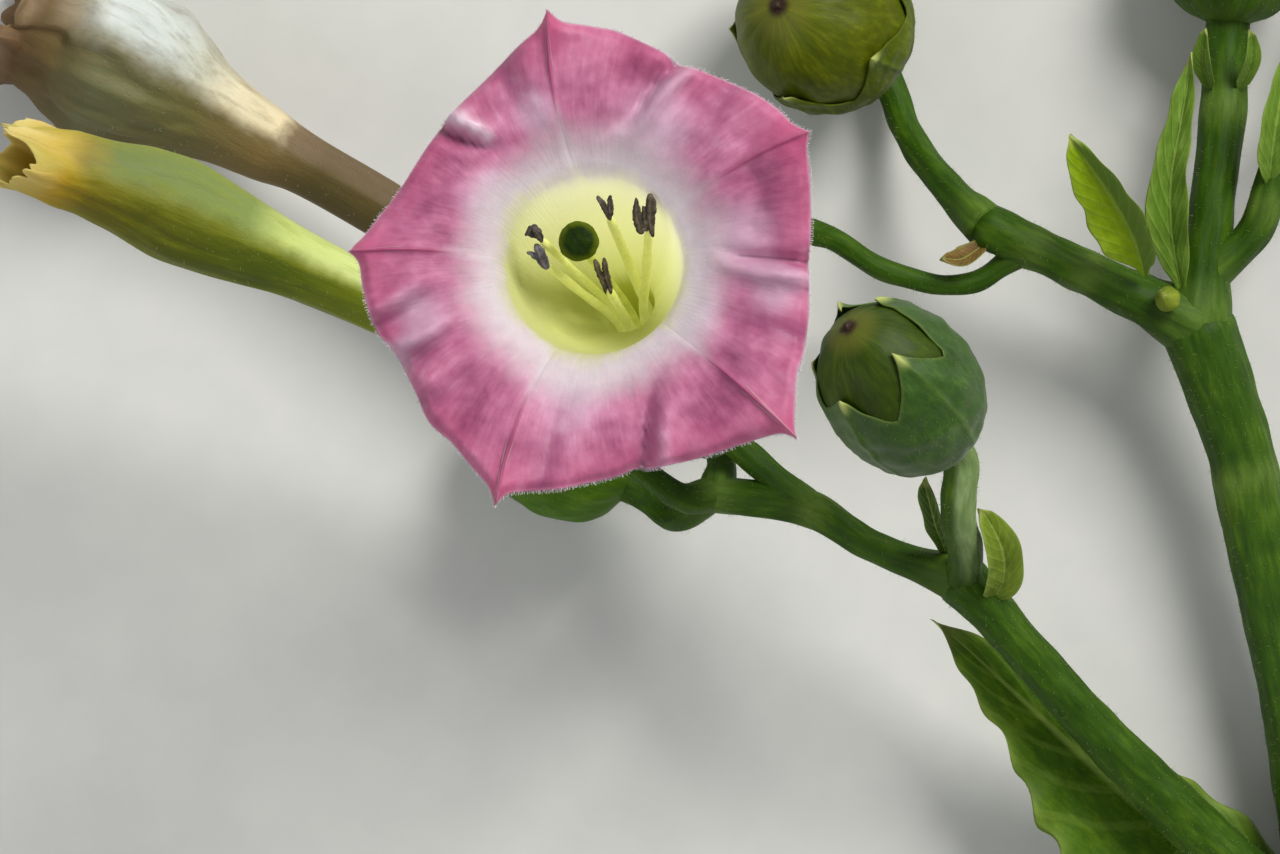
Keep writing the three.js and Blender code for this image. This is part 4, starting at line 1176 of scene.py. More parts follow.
# Calyx cups of the flowers: each starts at its foot and looks at a point.
cups = {
    "pink": dict(
        foot=(4.8, 0.4, 15.3), towards=(0.4, 4.5, 40.5), length=12.5, radius=3.1,
        teeth=[(15, 1.0, 0.3), (87, 0.95, 0.5), (159, 1.02, 0.2), (231, 0.94, 0.5), (303, 0.98, 0.3)],
        notches=[0.62, 0.6, 0.64, 0.6, 0.62],
    ),
    "faded_upper": dict(
        foot=(2.4, 1.6, 9), towards=(-4, 6.1, 8.9), length=11, radius=2.75,
        teeth=[(0, 1.0, 0.4), (72, 0.94, 0.2), (144, 1.0, 0.5), (216, 0.96, 0.3), (288, 1.0, 0.4)],
        notches=[0.62, 0.6, 0.64, 0.62, 0.6],
    ),
    "faded_lower": dict(
        foot=(-0.7, -2.4, 16), towards=(-9.6, 3.9, 20), length=11, radius=2.75,
        teeth=[(30, 1.0, 0.4), (102, 0.96, 0.5), (174, 1.0, 0.2), (246, 0.94, 0.4), (318, 0.98, 0.3)],
        notches=[0.62, 0.64, 0.6, 0.62, 0.6],
    ),
}


def eggRadius(share, radius):
    # radius * (1 - reach ** 2.2) ** 0.55. reach is 0 at the egg's widest place and 1 at either
    # end.
    widest = 0.46
    reach = np.where(share < widest, (widest - share) / widest, (share - widest) / (1 - widest))
    return radius * np.maximum(0, 1 - reach**2.2) ** 0.55


def cupRadius(share, radius):
    # Swells from 0.42 of the radius to the whole of it over the first third of the height.
    return radius * (1 - 0.58 * (1 - np.clip(share / 0.3, 0, 1)) ** 2.5)


def aimed(sizes):
    # The foot, the way that a fruit or cup points and its length.
    foot = np.array(sizes["foot"], float)
    way = np.array(sizes.get("nose", sizes.get("towards"))) - foot
    return foot, unit(way), sizes.get("length", np.linalg.norm(way))


def around(foot, axis, heights, turns, reach):
    # foot + axis * height + reach * (level * cos turn + second * sin turn), for whole grids.
    level, second = levelSides(axis)
    heading = level * np.cos(turns)[..., None] + second * np.sin(turns)[..., None]
    return foot + axis * heights[..., None] + reach[..., None] * heading


def calyxSkin(node, sizes, finish, hairs):
    # Rings from foot to edge outside and back inside. The edge falls from each tooth's tip to
    # a notch and rises to the next: notch + (tip - notch) * climbed ** power, where climbed
    # runs from 0 at the notch to 1 at a tip. A fruit's calyx lies on its egg, a cup's stands free.
    perTooth, rows, clearance = 32, 46, 0.27
    foot, axis, length = aimed(sizes)
    teeth, notches = np.array(sizes["teeth"], float), np.array(sizes["notches"])[:, None]
    following = np.roll(teeth, -1, 0)
    following[-1, 0] += 360
    share = crowded(perTooth, 0.7)
    gap = np.radians(following - teeth)[:, :1]
    turns = (np.radians(teeth[:, :1]) + gap * share).ravel()
    falls = np.array(sizes.get("falls", [0.5] * 5))[:, None]
    power = np.where(share < falls, 1.2, np.array(sizes.get("climbs", [1.2] * 5))[:, None])
    climb = np.where(share < falls, 1 - share / falls, (share - falls) / (1 - falls))
    near = climb.ravel()
    reached, stood = (np.where(share < falls, teeth[:, [k]], following[:, [k]]) for k in (1, 2))
    rim = (notches + (reached - notches) * climb**power).ravel()
    lift = stood.ravel() * near**2
    fromTip = np.minimum(share, 1 - share)
    aside, mid = (fromTip * gap).ravel(), ((0.5 - fromTip) * gap).ravel()
    level = 1 - (1 - np.linspace(0, 1, rows)[:, None]) ** 1.2
    heights = level * rim * length
    radius = sizes["radius"]
    fruit = "nose" in sizes
    if fruit:
        climbed = heights / length
        foothold = 0.3 * radius * (1 - smoothStep(0, 0.4, climbed))
        reach = np.hypot(eggRadius(climbed, radius), foothold) + clearance
    else:
        reach = cupRadius(heights / length, radius)
    rib = bell(aside * reach, 0.26) + 0.55 * bell(mid * reach, 0.2) * smoothStep(1, 0.6, level)
    skin = straightened(turns, radius, heights)
    reach = reach + 0.09 * rib * smoothStep(0, 0.2, level) + 0.05 * ripples(skin, 1.5, len(node))
    reach = reach + 0.08 * np.sin(np.pi * level) * np.sin(np.pi * near) ** 2
    reach = reach + lift * smoothStep(0.76, 1.0, level) ** 2.5 * near**3
    reach = reach - 0.08 * smoothStep(0.8, 1, level) * (1 - near**3)
    reach = reach * (1 - 0.28 * bell(level, 0.035))
    wall = 0.24 - 0.12 * smoothStep(0.6, 1, level)
    outer = around(foot, axis, heights, turns, reach)
    inner = around(foot, axis, heights, turns, reach - wall)
    mark = triple(level, np.clip(rib, 0, 1), smoothStep(0.8, 1, level) * near**4)
    down = slice(None, 3, -2)
    grid = np.concatenate([outer, inner[down]])
    dress(node, finish, "calyx", grid, skin=backed(skin, down), mark=backed(mark, down))
    hairs.append((outer, 1.5 if fruit else 1.3, 1))


def capsuleSkin(node, sizes, finish):
    # An egg of rings with two seams, and a dark nub where the style fell off: rings of
    # nubRadius * sqrt(1 - rise ** 2), with a few lobes.
    foot, axis, length = aimed(sizes)
    columns, nubRows, nubRadius = 96, 12, 0.34
    turns = circle(columns)
    share = 1 - 0.97 * (1 - np.linspace(0.002, 1, 64)[:, None] ** 0.75) - 0.0015
    fromSeam = np.abs((turns - np.radians(sizes["seam"])) % np.pi - np.pi / 2)
    reach = eggRadius(share, sizes["radius"]) * np.ones(columns)
    seam = bell((np.pi / 2 - fromSeam) * reach, 0.13) * smoothStep(0.45, 0.8, share)
    second = 0.6 * bell(fromSeam * reach, 0.12) * smoothStep(0.7, 0.95, share)
    seam = np.maximum(seam, second)
    skin = straightened(turns, sizes["radius"], share * length)
    reach = reach - 0.09 * seam + 0.05 * ripples(skin, 2.4, 30) * smoothStep(1, 0.9, share)
    egg = around(foot, axis, share * length * np.ones(columns), turns, reach)
    shape = Shape()
    shape.add(egg, skin=skin, mark=triple(share, seam, 0))
    turns = turns[::4]
    rise = np.linspace(0, 1, nubRows)[:, None]
    lobes = 1 + 0.14 * np.cos(3 * turns) + 0.08 * np.cos(7 * turns)
    nub = nubRadius * np.sqrt(1 - rise**2 * 0.99) * lobes
    heights = (length - 0.2 + 0.55 * rise) * np.ones(len(turns))
    shape.add(
        around(foot, axis, heights, turns, nub),
        skin=triple(nub, nub, heights),
        mark=triple(np.ones((nubRows, 1)), 0 * turns, 0),
    )
    shape.make(pieceName(node), [finish], [node])


# The greens of single calyces and capsules, where they differ from the others'.
calyxLooks = {
    "near": dict(
        dark=(30, 60, 2), mid=(46, 80, 8), light=(74, 108, 32), gloss=0.4, sheen=0.14, rough=0.46
    ),
    "top": dict(dark=(58, 72, 0), mid=(82, 96, 2), light=(122, 134, 22)),
    "behind": dict(dark=(50, 86, 2), mid=(76, 114, 8), light=(108, 144, 28)),
}
capsuleLooks = {
    "near": dict(dark=(36, 54, 0), mid=(50, 70, 2), light=(70, 94, 10)),
    "top": dict(dark=(62, 72, 0), mid=(86, 96, 2), light=(118, 126, 16)),
}


def fruitSkins(hairs):
    calyces = {
        name: calyxFinish("calyx" + name.capitalize(), **look)
        for name, look in calyxLooks.items()
    }
    capsules = {
        name: capsuleFinish("capsule" + name.capitalize(), **look)
        for name, look in capsuleLooks.items()
    }
    calyx, capsule = calyxFinish("calyx"), capsuleFinish("capsule")
    for name, sizes in fruits.items():
        capsuleSkin("capsule_" + name, sizes, capsules.get(name, capsule))
        calyxSkin("calyx_" + name, sizes, calyces.get(name, calyx), hairs)
    for name, sizes in cups.items():
        calyxSkin("calyx_" + name, sizes, calyx, hairs)
    print("fruits and cups made")


# Stems from root to tip: x, y, z and radius. to names the fruit or cup at the tip and tip is
# the radius there, hidden is how much of the root lies inside the stem that it springs from,
# and nodes are old leaf scars.
stems = {
    "stem_main": dict(hidden=0, nodes=[(42.6, -3.6, 6.4)], stations=[
        (56.3, -50.3, 3.5, 3.4), (50.5, -38.7, 4.1, 3.3), (45.8, -17.9, 5.2, 2.5),
        (43.2, -7.2, 6, 2.3), (42, -1.6, 6.6, 2.3), (38.9, 7.1, 8, 2.7)]),
    "stem_left": dict(hidden=3.4, stations=[
        (50.9, -39.6, 4.2, 2.2), (38.4, -27.7, 8.2, 1.9), (31, -20.3, 11.5, 1.6),
        (24.1, -12.6, 14.5, 1.6), (22.2, -10.6, 15, 2.1)]),
    "rachis": dict(hidden=2, nodes=[(11.8, -5.7, 13), (5.6, -4.8, 12.1)], stations=[
        (22.2, -10.6, 15, 1.35), (15.9, -8.2, 14, 1.08), (11.8, -5.7, 13, 1.25), (5, -4.7, 12, 1.25)]),
    "branch_right": dict(hidden=2.4, nodes=[(31, 10.8, 9.3), (27.2, 12.5, 9.9)], stations=[
        (38.9, 7.1, 8, 2), (31, 10.8, 9.3, 1.5), (24, 14, 10.3, 1.65)]),
    "stem_upper": dict(hidden=2.4, to="right", nodes=[(40.8, 22.2, 7.2)], stations=[
        (38.9, 7.1, 8, 2), (40, 15.9, 8, 1.6), (40.8, 22.2, 7.2, 1.6)]),
    "branch_far": dict(hidden=2, to="far", nodes=[(43.4, 15.4, 9)], stations=[
        (39.4, 10.6, 8, 1.3), (42.8, 13.6, 8.8, 1.2), (45, 19.7, 9.4, 1.2)]),
    "pedicel_pink": dict(hidden=1.3, to="pink", stations=[
        (11.8, -5.7, 13, 1), (8.6, -2.9, 12.6, 1)]),
    "pedicel_faded_upper": dict(hidden=1.3, to="faded_upper", stations=[
        (5.2, -4.7, 12, 1), (5.6, -2, 10.2, 1)]),
    "pedicel_faded_lower": dict(hidden=1.3, to="faded_lower", stations=[
        (5, -4.7, 12, 1), (3, -4.9, 13.6, 1)]),
    "pedicel_behind": dict(hidden=1.3, to="behind", stations=[
        (5, -4.7, 12, 0.9), (3.4, -6.2, 9.8, 0.9), (2, -6.3, 7.4, 0.9)]),
    "pedicel_near": dict(hidden=1.8, to="near", tip=1.2, look="stemPale", stations=[
        (22.2, -10.6, 15, 1), (22.3, -8.6, 18.2, 1.2), (21.6, -5.9, 21.8, 1.2)]),
    "pedicel_top": dict(hidden=1.8, stations=[
        (24, 14, 10.3, 1.3), (21.1, 17.2, 7.6, 1.1), (19, 20.4, 4.4, 1.05), (17.7, 24, 2.2, 1.1),
        (16.6, 26.4, 1.65, 1.25)]),
    "pedicel_hidden": dict(hidden=1.5, to="hidden", stations=[
        (27.2, 12.5, 9.9, 0.8), (22.6, 9.9, 9.6, 0.75), (17, 10.9, 10.6, 0.75), (13.4, 13, 11.8, 0.8)]),
}


def stemSkin(node, sizes, finish, hairs, seed):
    # A ring swept along the stations, its radius times 1 + five ridges + eleven finer ones,
    # with a collar where it leaves its parent, knuckles at the scars and a domed tip.
    stations, hidden = list(sizes["stations"]), sizes["hidden"]
    if "to" in sizes:
        held = fruits.get(sizes["to"], cups.get(sizes["to"]))
        foot, axis, _ = aimed(held)
        tip = sizes.get("tip", 0.3 * held["radius"])
        stations += [(*(foot + axis * along), tip) for along in (-1.6, 0.4)]
    else:
        # the dome's middle lies on the last station
        last, before = np.array(stations[-1][:3]), np.array(stations[-2][:3])
        tip = stations[-1][3]
        stations[-1] = (*(last + unit(last - before) * 0.55 * tip), tip)
    length = evenPath(stations, 2)[1][-1]
    rowLength, endRows = 0.28, 12
    path, far = evenPath(stations, int(length / rowLength) + endRows)
    middle, thick = path[:, :3], path[:, 3]
    tangents, first, second = carriedSides(middle)
    columns = 72 if thick.max() > 2.2 else 48
    turns = circle(columns)
    knuckle = np.zeros(len(far))
    for place in sizes.get("nodes", ()):
        gap = np.linalg.norm(middle - place, axis=1)
        knuckle = np.maximum(knuckle, bell(far - far[gap.argmin()], 1.1))
    collar = 1 - smoothStep(0.4 * hidden, hidden + 1.8, far) if hidden else 0 * far
    dome = np.clip((length - far) / (0.8 * thick[-1]), 0.02, 1)
    dome = 1 if "to" in sizes else np.sqrt(1 - (1 - dome) ** 2)
    wobble = 0.5 * ripples(middle, 9, seed)[:, None]
    skin = straightened(turns, thick[:, None], far[:, None])
    ridged = 1 + 0.022 * np.cos(5 * turns + wobble) + 0.014 * np.cos(11 * turns - 1.5 * wobble)
    radius = (thick * (1 + 0.22 * collar + 0.05 * knuckle) * dome)[:, None] * ridged
    radius = radius + 0.035 * ripples(skin * (1, 1, 0.4), 1.1, seed + 40)
    grid = sweep(middle, (first, second), turns, radius)
    near = np.maximum(knuckle, 0.6 * collar)[:, None]
    mark = triple(near, np.zeros(columns), (far / length)[:, None])
    if node == "stem_main":
        # the cut face: flat rings inwards from the edge
        shares = np.array([0.03, 0.2, 0.4, 0.6, 0.75, 0.88, 0.97])[:, None]
        face = middle[0] + (grid[0] - middle[0]) * shares[..., None]
        face = face - tangents[0] * (0.1 * ripples(face, 1.4, 6) - 0.1 * shares**6)[..., None]
        grid = np.concatenate([face, grid])
        skin = np.concatenate([skin[0] * shares[..., None], skin])
        mark = np.concatenate([triple(0 * shares, np.ones(columns), 0), mark])
        far = np.concatenate([np.full(len(shares), -9.0), far])  # no hairs on the face
    dress(node, finish, "stem", grid, skin=skin, mark=mark)
    seen = (far > hidden) & (far < length - 0.8)
    hairs.append((grid, 2.4, seen[:-1, None]))


def stemSkins(hairs):
    looks = {
        "stem": stemFinish("stem"),
        # painted light: the pale, lit copy of the stem green for the near pedicel
        "stemPale": stemFinish(
            "stemPale", dark=(84, 110, 54), mid=(116, 140, 84), light=(156, 174, 124)
        ),
    }
    for seed, (node, sizes) in enumerate(stems.items()):
        stemSkin(node, sizes, looks[sizes.get("look", "stem")], hairs, seed)
    print("stems made")


# Bracts from root to tip: x, y, z and the reach of the blade to its left and right. up is the
# way its face looks, fold lifts its sides, wave is the height of its edge's waves.
bracts = {
    "bract_stem": dict(up=(0.15, 0.2, 1), fold=-0.12, wave=0.35, stations=[
        (46.6, -35.7, 2.2, 2, 2), (42.5, -31.8, 3.1, 6, 3.4), (37.2, -28, 4.9, 7.9, 3.6),
        (32.2, -24, 7, 6, 3), (27, -19.3, 9, 3.1, 2.4), (23, -15.6, 10.8, 1.4, 1.3),
        (21.4, -14.2, 11.5, 0.8, 0.6), (20.4, -13.4, 12, 0.3, 0.3)]),
    "bract_curled": dict(up=(0.3, 0.1, 1), fold=0.45, wave=0.06, look="bractOlive", stations=[
        (24.2, -12, 15.3, 0.5, 0.5), (24.8, -10.7, 17, 1.5, 1.15), (24.8, -8.9, 18.7, 1.75, 1.25),
        (24.1, -7.1, 20.2, 1.4, 1), (23.1, -5.6, 21.2, 0.4, 0.35)]),
    "bract_slim": dict(up=(-0.6, -0.4, 1), fold=0.3, wave=0.05, look="bractPaintedShade", stations=[
        (21.3, -9.3, 14.7, 0.4, 0.4), (20.9, -8.1, 15.6, 0.55, 0.55), (20.3, -6.8, 17.8, 0.9, 0.9),
        (19.7, -4.8, 19.8, 0.7, 0.7), (19.3, -3.6, 20.8, 0.25, 0.25)]),
    "bract_bright": dict(up=(-0.5, -0.35, 1), fold=0.45, wave=0.12, look="bractBright", stations=[
        (35.1, 10.5, 11.3, 0.7, 0.7), (34.2, 13, 13.2, 2, 1.7), (32.4, 16, 15.4, 2.2, 1.9),
        (30.4, 18.6, 17.2, 1.15, 1.1), (29.4, 19.9, 18, 0.25, 0.25)]),
    "bract_slender": dict(up=(-0.45, 0.1, 0.9), fold=0.3, wave=0.08, look="bractPale", stations=[
        (37.9, 9, 9.3, 0.45, 0.45), (37, 13.3, 10.5, 1.4, 1.4), (36.9, 17.2, 11, 1.5, 1.5),
        (37.6, 21.4, 11.4, 1, 1), (38.1, 24.5, 11.7, 0.5, 0.5), (38.2, 26, 11.8, 0.25, 0.25)]),
    "bract_dry": dict(up=(0, 0.4, 1), fold=0.4, wave=0.12, look="bractDry", stations=[
        (24, 12.7, 10.7, 0.5, 0.5), (22.2, 11.6, 11.4, 0.8, 0.8), (20.9, 11.7, 12.1, 0.25, 0.25)]),
    "bract_upper_left": dict(up=(-0.5, -0.2, 1), fold=0.4, wave=0.05, look="bractPale", stations=[
        (39.9, 23.7, 8.2, 0.45, 0.45), (39.2, 25.5, 9.8, 0.75, 0.75), (39.2, 27.6, 11.2, 0.25, 0.25)]),
    "bract_upper_right": dict(up=(0.5, -0.2, 1), fold=0.4, wave=0.05, look="bractPale", stations=[
        (41.8, 23.7, 8.2, 0.45, 0.45), (42.5, 25.5, 9.7, 0.75, 0.75), (42.4, 27.5, 11, 0.25, 0.25)]),
    "bract_far": dict(up=(0.3, -0.5, 1), fold=0.4, wave=0.08, look="bractPale", stations=[
        (43.7, 16.7, 9.9, 0.45, 0.45), (43.9, 20, 12, 1.3, 1.3), (44.4, 23.6, 13, 1, 1),
        (44.8, 26, 13.6, 0.25, 0.25)]),
}


def bractSkin(node, sizes, finish, hairs, seed):
    # A blade: rows along the stations, columns over its face from left to right and back
    # underneath. Each point lifts by fold * reach, the edges wave, and the midrib is a groove
    # above and a rib below.
    path, far = evenPath(sizes["stations"], 84)
    middle, left, right = path[:, :3], path[:, 3:4], path[:, 4:5]
    share = (far / far[-1])[:, None]
    point = np.sqrt(1 - smoothStep(0.9, 1.0, share) ** 2 * 0.96)
    point = point * (0.4 + 0.6 * smoothStep(0, 0.14, share))
    tangent = unit(np.gradient(middle, axis=0))
    side = unit(np.cross(unit(np.array(sizes["up"])), tangent))
    out = np.cross(tangent, side)
    over, back = 25, 23  # columns above and below
    spread = np.cos(np.linspace(0, np.pi, over)) * 0.4 + np.linspace(1, -1, over) * 0.6
    across = np.concatenate([spread, spread[-2:0:-1]])
    below = np.concatenate([np.zeros(over), np.ones(back)])
    ragged, leftWave, rightWave = (
        ripples(np.stack([far, start + 0 * far], 1), length, seed + more)[:, None]
        for start, length, more in ((0, 3.5, 0), (3, 4.0, 1), (9, 4.0, 2))
    )
    reach = np.where(across > 0, left, right) * across * point
    reach = reach * (1 + 0.05 * ragged * np.abs(across) ** 3)
    edge = np.abs(across) ** 2
    swell = leftWave * (across > 0) + rightWave * (across <= 0)
    lift = sizes["fold"] * np.sqrt(reach**2 + 0.05) + sizes["wave"] * edge * swell
    veins = np.sin((share * 9 - np.abs(across) * 2.2) * 2 * np.pi)
    puckers = 0.03 * veins * smoothStep(0.4, 3, left)
    rounded = np.sqrt(np.maximum(0, 1 - across**2))
    lift = lift + puckers * rounded + (0.09 + 0.1 * rounded) * (0.5 - below)
    lift = lift - 0.1 * bell(reach, 0.16) * (1 - below) - 0.26 * bell(reach, 0.2) * below
    grid = middle[:, None] + side[:, None] * reach[..., None] + out[:, None] * lift[..., None]
    skin, mark = triple(reach, below * 2, far[:, None]), triple(across, share, edge**3)
    dress(node, finish, "bract", grid, skin=skin, mark=mark)
    hairs.append((grid, 1.1, 1))


bractLooks = {
    "bract": {},
    "bractPale": dict(dark=(72, 104, 22), mid=(100, 134, 40), light=(140, 168, 78)),
    # a bright yellow-green, partly painted light, with painted shade on its right half
    "bractBright": dict(
        dark=(112, 146, 2), mid=(146, 178, 8), light=(178, 202, 36), paintedShadeHalf=(84, 118, 44)
    ),
    "bractOlive": dict(dark=(78, 100, 14), mid=(106, 128, 30), light=(146, 164, 72)),
    # painted shade: a darker copy of the bract green, for the slim bract under the open flower
    "bractPaintedShade": dict(dark=(34, 58, 2), mid=(52, 78, 8), light=(92, 112, 48)),
    "bractDry": dict(dark=(74, 52, 26), mid=(116, 88, 46), light=(156, 130, 82)),
    "budScale": dict(dark=(84, 102, 8), mid=(112, 128, 18), light=(146, 156, 46)),
}


def bractSkins(hairs):
    looks = {name: bractFinish(name, **look) for name, look in bractLooks.items()}
    for seed, (node, sizes) in enumerate(bracts.items()):
        bractSkin(node, sizes, looks[sizes.get("look", "bract")], hairs, 3 * seed)
    budSkin(looks["budScale"])
    print("bracts made")


def budSkin(finish):
    # The small bud, an egg of five folded scales that twist to a point: rings of radius *
    # sin(pi * share ** 0.9) ** 0.75, with a ridge for each scale.
    radius, length = 0.85, 2.1
    share = np.linspace(0.01, 0.995, 40)[:, None]
    turns = circle(60)
    twist = turns + 1.2 * share
    ridges = 1 + 0.07 * np.abs(np.cos(2.5 * twist)) ** 0.6
    reach = radius * np.sin(np.pi * share**0.9) ** 0.75 * ridges
    heights = (share * length - length / 2) * np.ones(len(turns))
    grid = around(budMiddle, unit(np.array([-0.4, 0.3, 1])), heights, turns, reach)
    skin, mark = straightened(turns, 1, heights), triple(np.cos(2.5 * twist), share, 0.3)
    dress("bud_small", finish, "bract", grid, skin=skin, mark=mark)


# Faded corollas from foot to mouth: x, y, z and radius. lobes are the dried tips round the
# mouth, as (turn in degrees, length, half width in degrees, how far it curls out), and rim the
# length between them. folds is the depth of the lengthwise folds, torn that of the rim's
# tears, pinch how far a lobe rolls up, and crumple how far the rim's wrinkles stand out.
faded = {
    "upper": dict(
        stations=[
            (0.9, 2.7, 9, 1.7), (-4, 6.1, 8.9, 1.9), (-10, 10.1, 8.4, 1.95), (-17.8, 15, 7.6, 2),
            (-23.8, 18.4, 6.9, 2.2), (-26.4, 19.7, 6.6, 2.75), (-30.2, 22.0, 6, 3.4),
            (-34.6, 24.4, 5.9, 5.2), (-37.6, 26, 5.8, 5.7), (-40.4, 27.3, 5.8, 4.7),
            (-41.8, 28.0, 5.8, 4.5)],
        lobes=[
            (20, 3.4, 44, 0.5), (95, 3.0, 36, 0.25), (170, 3.4, 40, 0.45), (240, 2.6, 34, 0.1),
            (310, 3.2, 38, 0.4)],
        rim=0.3, folds=0.1, torn=0.4, pinch=0.15, crumple=0.3,
    ),
    "lower": dict(
        stations=[
            (-2.2, -1.4, 16.6, 1.7), (-9.6, 3.9, 20, 1.9), (-16, 7.6, 22.5, 2), (-22.4, 10.6, 25, 2.3),
            (-28.6, 13.3, 27, 3.3), (-31.8, 14.7, 28.1, 3.5), (-35.6, 16.2, 29.7, 2.75),
            (-37.9, 17.0, 30.6, 2.5)],
        lobes=[
            (356, 1, 22, -0.25), (308, 1.6, 19, -0.12), (184, 1.3, 24, -0.06), (122, 0.8, 26, 0),
            (58, 0.9, 25, -0.1)],
        rim=3.9, folds=0.09, torn=0.22, pinch=0.6, crumple=0.14,
    ),
}


def fadedSkin(node, sizes, finish, slot, hairs, seed):
    # A tube swept along the stations and folded lengthwise, more towards its mouth. Past the
    # mouth each column runs on by its lobe's length, curls out and draws in to the lobe's
    # middle; the wall then returns inside.
    rows, flapRows, columns, hairyRows = 190, 25, 170, 170

    def runOn(along):
        # the mouth's own value for each row of the lobes
        return np.concatenate([along, np.repeat(along[-1:], flapRows, 0)])

    path, far = evenPath(sizes["stations"], rows)
    turns = circle(columns)
    share = far / far[-1]
    # each column's length past the mouth, how far it curls out and its turn from its lobe
    lobes = np.array(sizes["lobes"], float)
    gap = (turns[:, None] - np.radians(lobes[:, 0]) + np.pi) % (2 * np.pi) - np.pi
    inLobe = np.exp(-((np.abs(gap) / np.radians(lobes[:, 2])) ** 4))
    curl, aside = (inLobe * lobes[:, 3]).sum(-1), (inLobe * gap).sum(-1)
    rounded = np.stack([np.cos(turns), np.sin(turns)], -1) * 3.2
    tears = ripples(rounded, 1.1, seed) + 0.5 * ripples(rounded, 0.5, seed + 1)
    reachOut = (inLobe * lobes[:, 1]).max(-1) + sizes["rim"]
    reachOut = np.maximum(reachOut + sizes["torn"] * tears, 0.1)
    flap = np.linspace(0, 1, flapRows + 1)[1:]
    flaps = np.concatenate([np.zeros(rows), flap])[:, None]
    thick, ends = runOn(path[:, 3])[:, None], runOn(path[:, :3])
    tangents, first, second = carriedSides(path[:, :3])
    first, second = runOn(first), runOn(second)
    shares = runOn(share)
    # folds, dents and ribs, and lobes that roll up
    skin = straightened(turns, thick, np.concatenate([far, far[-1] + flap * 3])[:, None])
    grown = 0.2 + 0.8 * smoothStep(0.35, 0.95, shares)[:, None]
    pleats = ripples(skin * (1, 1, 0.08), 2.6, seed + 2)
    pleats = pleats + 0.4 * ripples(skin * (1, 1, 0.14), 1.1, seed + 3)
    dents = ripples(skin * (1, 1, 0.4), 6.0, seed + 4)
    ribs = np.abs(np.cos(2.5 * turns + 0.4)) ** 8
    pinched = turns - aside * sizes["pinch"] * smoothStep(0, 0.8, flaps)
    rolled = 0.35 * sizes["pinch"] * flaps * (bell(aside, 0.2) - 0.3)
    wide = thick + curl * flaps**1.5 * reachOut
    radius = wide * (1 + sizes["folds"] * (0.5 * pleats + 0.4 * dents) * grown)
    radius = np.maximum(radius + 0.12 * ribs + rolled, 0.35 * thick)
    grid = sweep(ends, (first, second), pinched, radius)
    grid = grid + tangents[-1] * (flaps * reachOut * (1 - 0.2 * curl))[..., None]
    crumple = np.concatenate([smoothStep(0.86, 1, share) * 0.5, 0.5 + 0.5 * flap])[:, None, None]
    wrinkles = np.stack([ripples(grid, 2.7, seed + way) for way in (5, 6, 7)], -1)
    grid = grid + sizes["crumple"] * crumple * wrinkles
    # what would reach the floor lies on it
    least, ease = 0.2, 0.25
    grid[..., 2] = least + ease * np.logaddexp(0, (grid[..., 2] - least) / ease)
    out = gridNormals(grid)
    out *= np.sign((out[5, 0] * (grid[5, 0] - ends[5])).sum())
    # inside, every second row down to the 90th, and every seventh below
    back = np.concatenate([np.arange(len(grid) - 1, 90, -2), np.arange(88, 4, -7)])
    wall = 0.26 - 0.14 * smoothStep(0.7, 1.0, shares)[back]
    wall = np.minimum(wall, 0.8 * radius[back].min(1))
    inner = grid[back] - out[back] * wall[:, None, None]
    level = np.concatenate([share * 0.9, 0.9 + 0.1 * flap])[:, None]
    # how far each column faces the light, which picks between painted light and painted shade
    facing = first[:, None] * np.cos(turns)[:, None] + second[:, None] * np.sin(turns)[:, None]
    mark = triple(level, ribs, 0.5 + 0.5 * facing @ unit(np.array([0.5, 0.86, 0.12])))
    grid = np.concatenate([grid, inner])
    dress(node, finish, slot, grid, skin=backed(skin, back), mark=backed(mark, back))
    hairs.append((grid[:hairyRows], 1.0, 1))


def fadedSkins(hairs):
    # lit side first, its cream neck and white bulb partly painted highlights; then the shaded side,
    # painted shade
    pale = fadedFinish(
        "fadedPale",
        [(0.0, (104, 88, 62)), (0.5, (112, 94, 68)), (0.55, (126, 106, 78)), (0.57, (228, 214, 176)),
         (0.64, (226, 216, 184)), (0.69, (194, 194, 176)), (0.74, (206, 212, 206)),
         (0.82, (214, 220, 216)), (0.865, (166, 156, 132)), (0.9, (130, 104, 76)),
         (1.0, (188, 166, 138))],
        [(0.0, (80, 70, 26)), (0.5, (88, 76, 30)), (0.57, (122, 102, 54)), (0.68, (108, 104, 56)),
         (0.8, (112, 114, 76)), (0.87, (100, 84, 44)), (0.92, (92, 68, 40)), (1.0, (132, 108, 78))],
        (106, 92, 58),
    )
    # lit side first, its pale band partly painted light; then the shaded side, painted shade
    green = fadedFinish(
        "fadedGreen",
        [(0.0, (150, 170, 70)), (0.35, (196, 212, 128)), (0.42, (210, 222, 146)),
         (0.58, (196, 210, 126)), (0.65, (128, 146, 76)), (0.86, (116, 130, 72)),
         (0.895, (150, 134, 58)), (0.935, (204, 176, 78)), (1.0, (220, 202, 132))],
        [(0.0, (98, 116, 4)), (0.4, (112, 126, 6)), (0.6, (78, 94, 2)), (0.8, (92, 96, 0)),
         (0.88, (112, 102, 2)), (0.93, (180, 146, 30)), (1.0, (212, 190, 108))],
        (142, 148, 26),
    )
    fadedSkin("corolla_faded_upper", faded["upper"], pale, "petal_faded_pale", hairs, 50)
    fadedSkin("corolla_faded_lower", faded["lower"], green, "petal_faded_green", hairs, 70)
    print("faded flowers made")


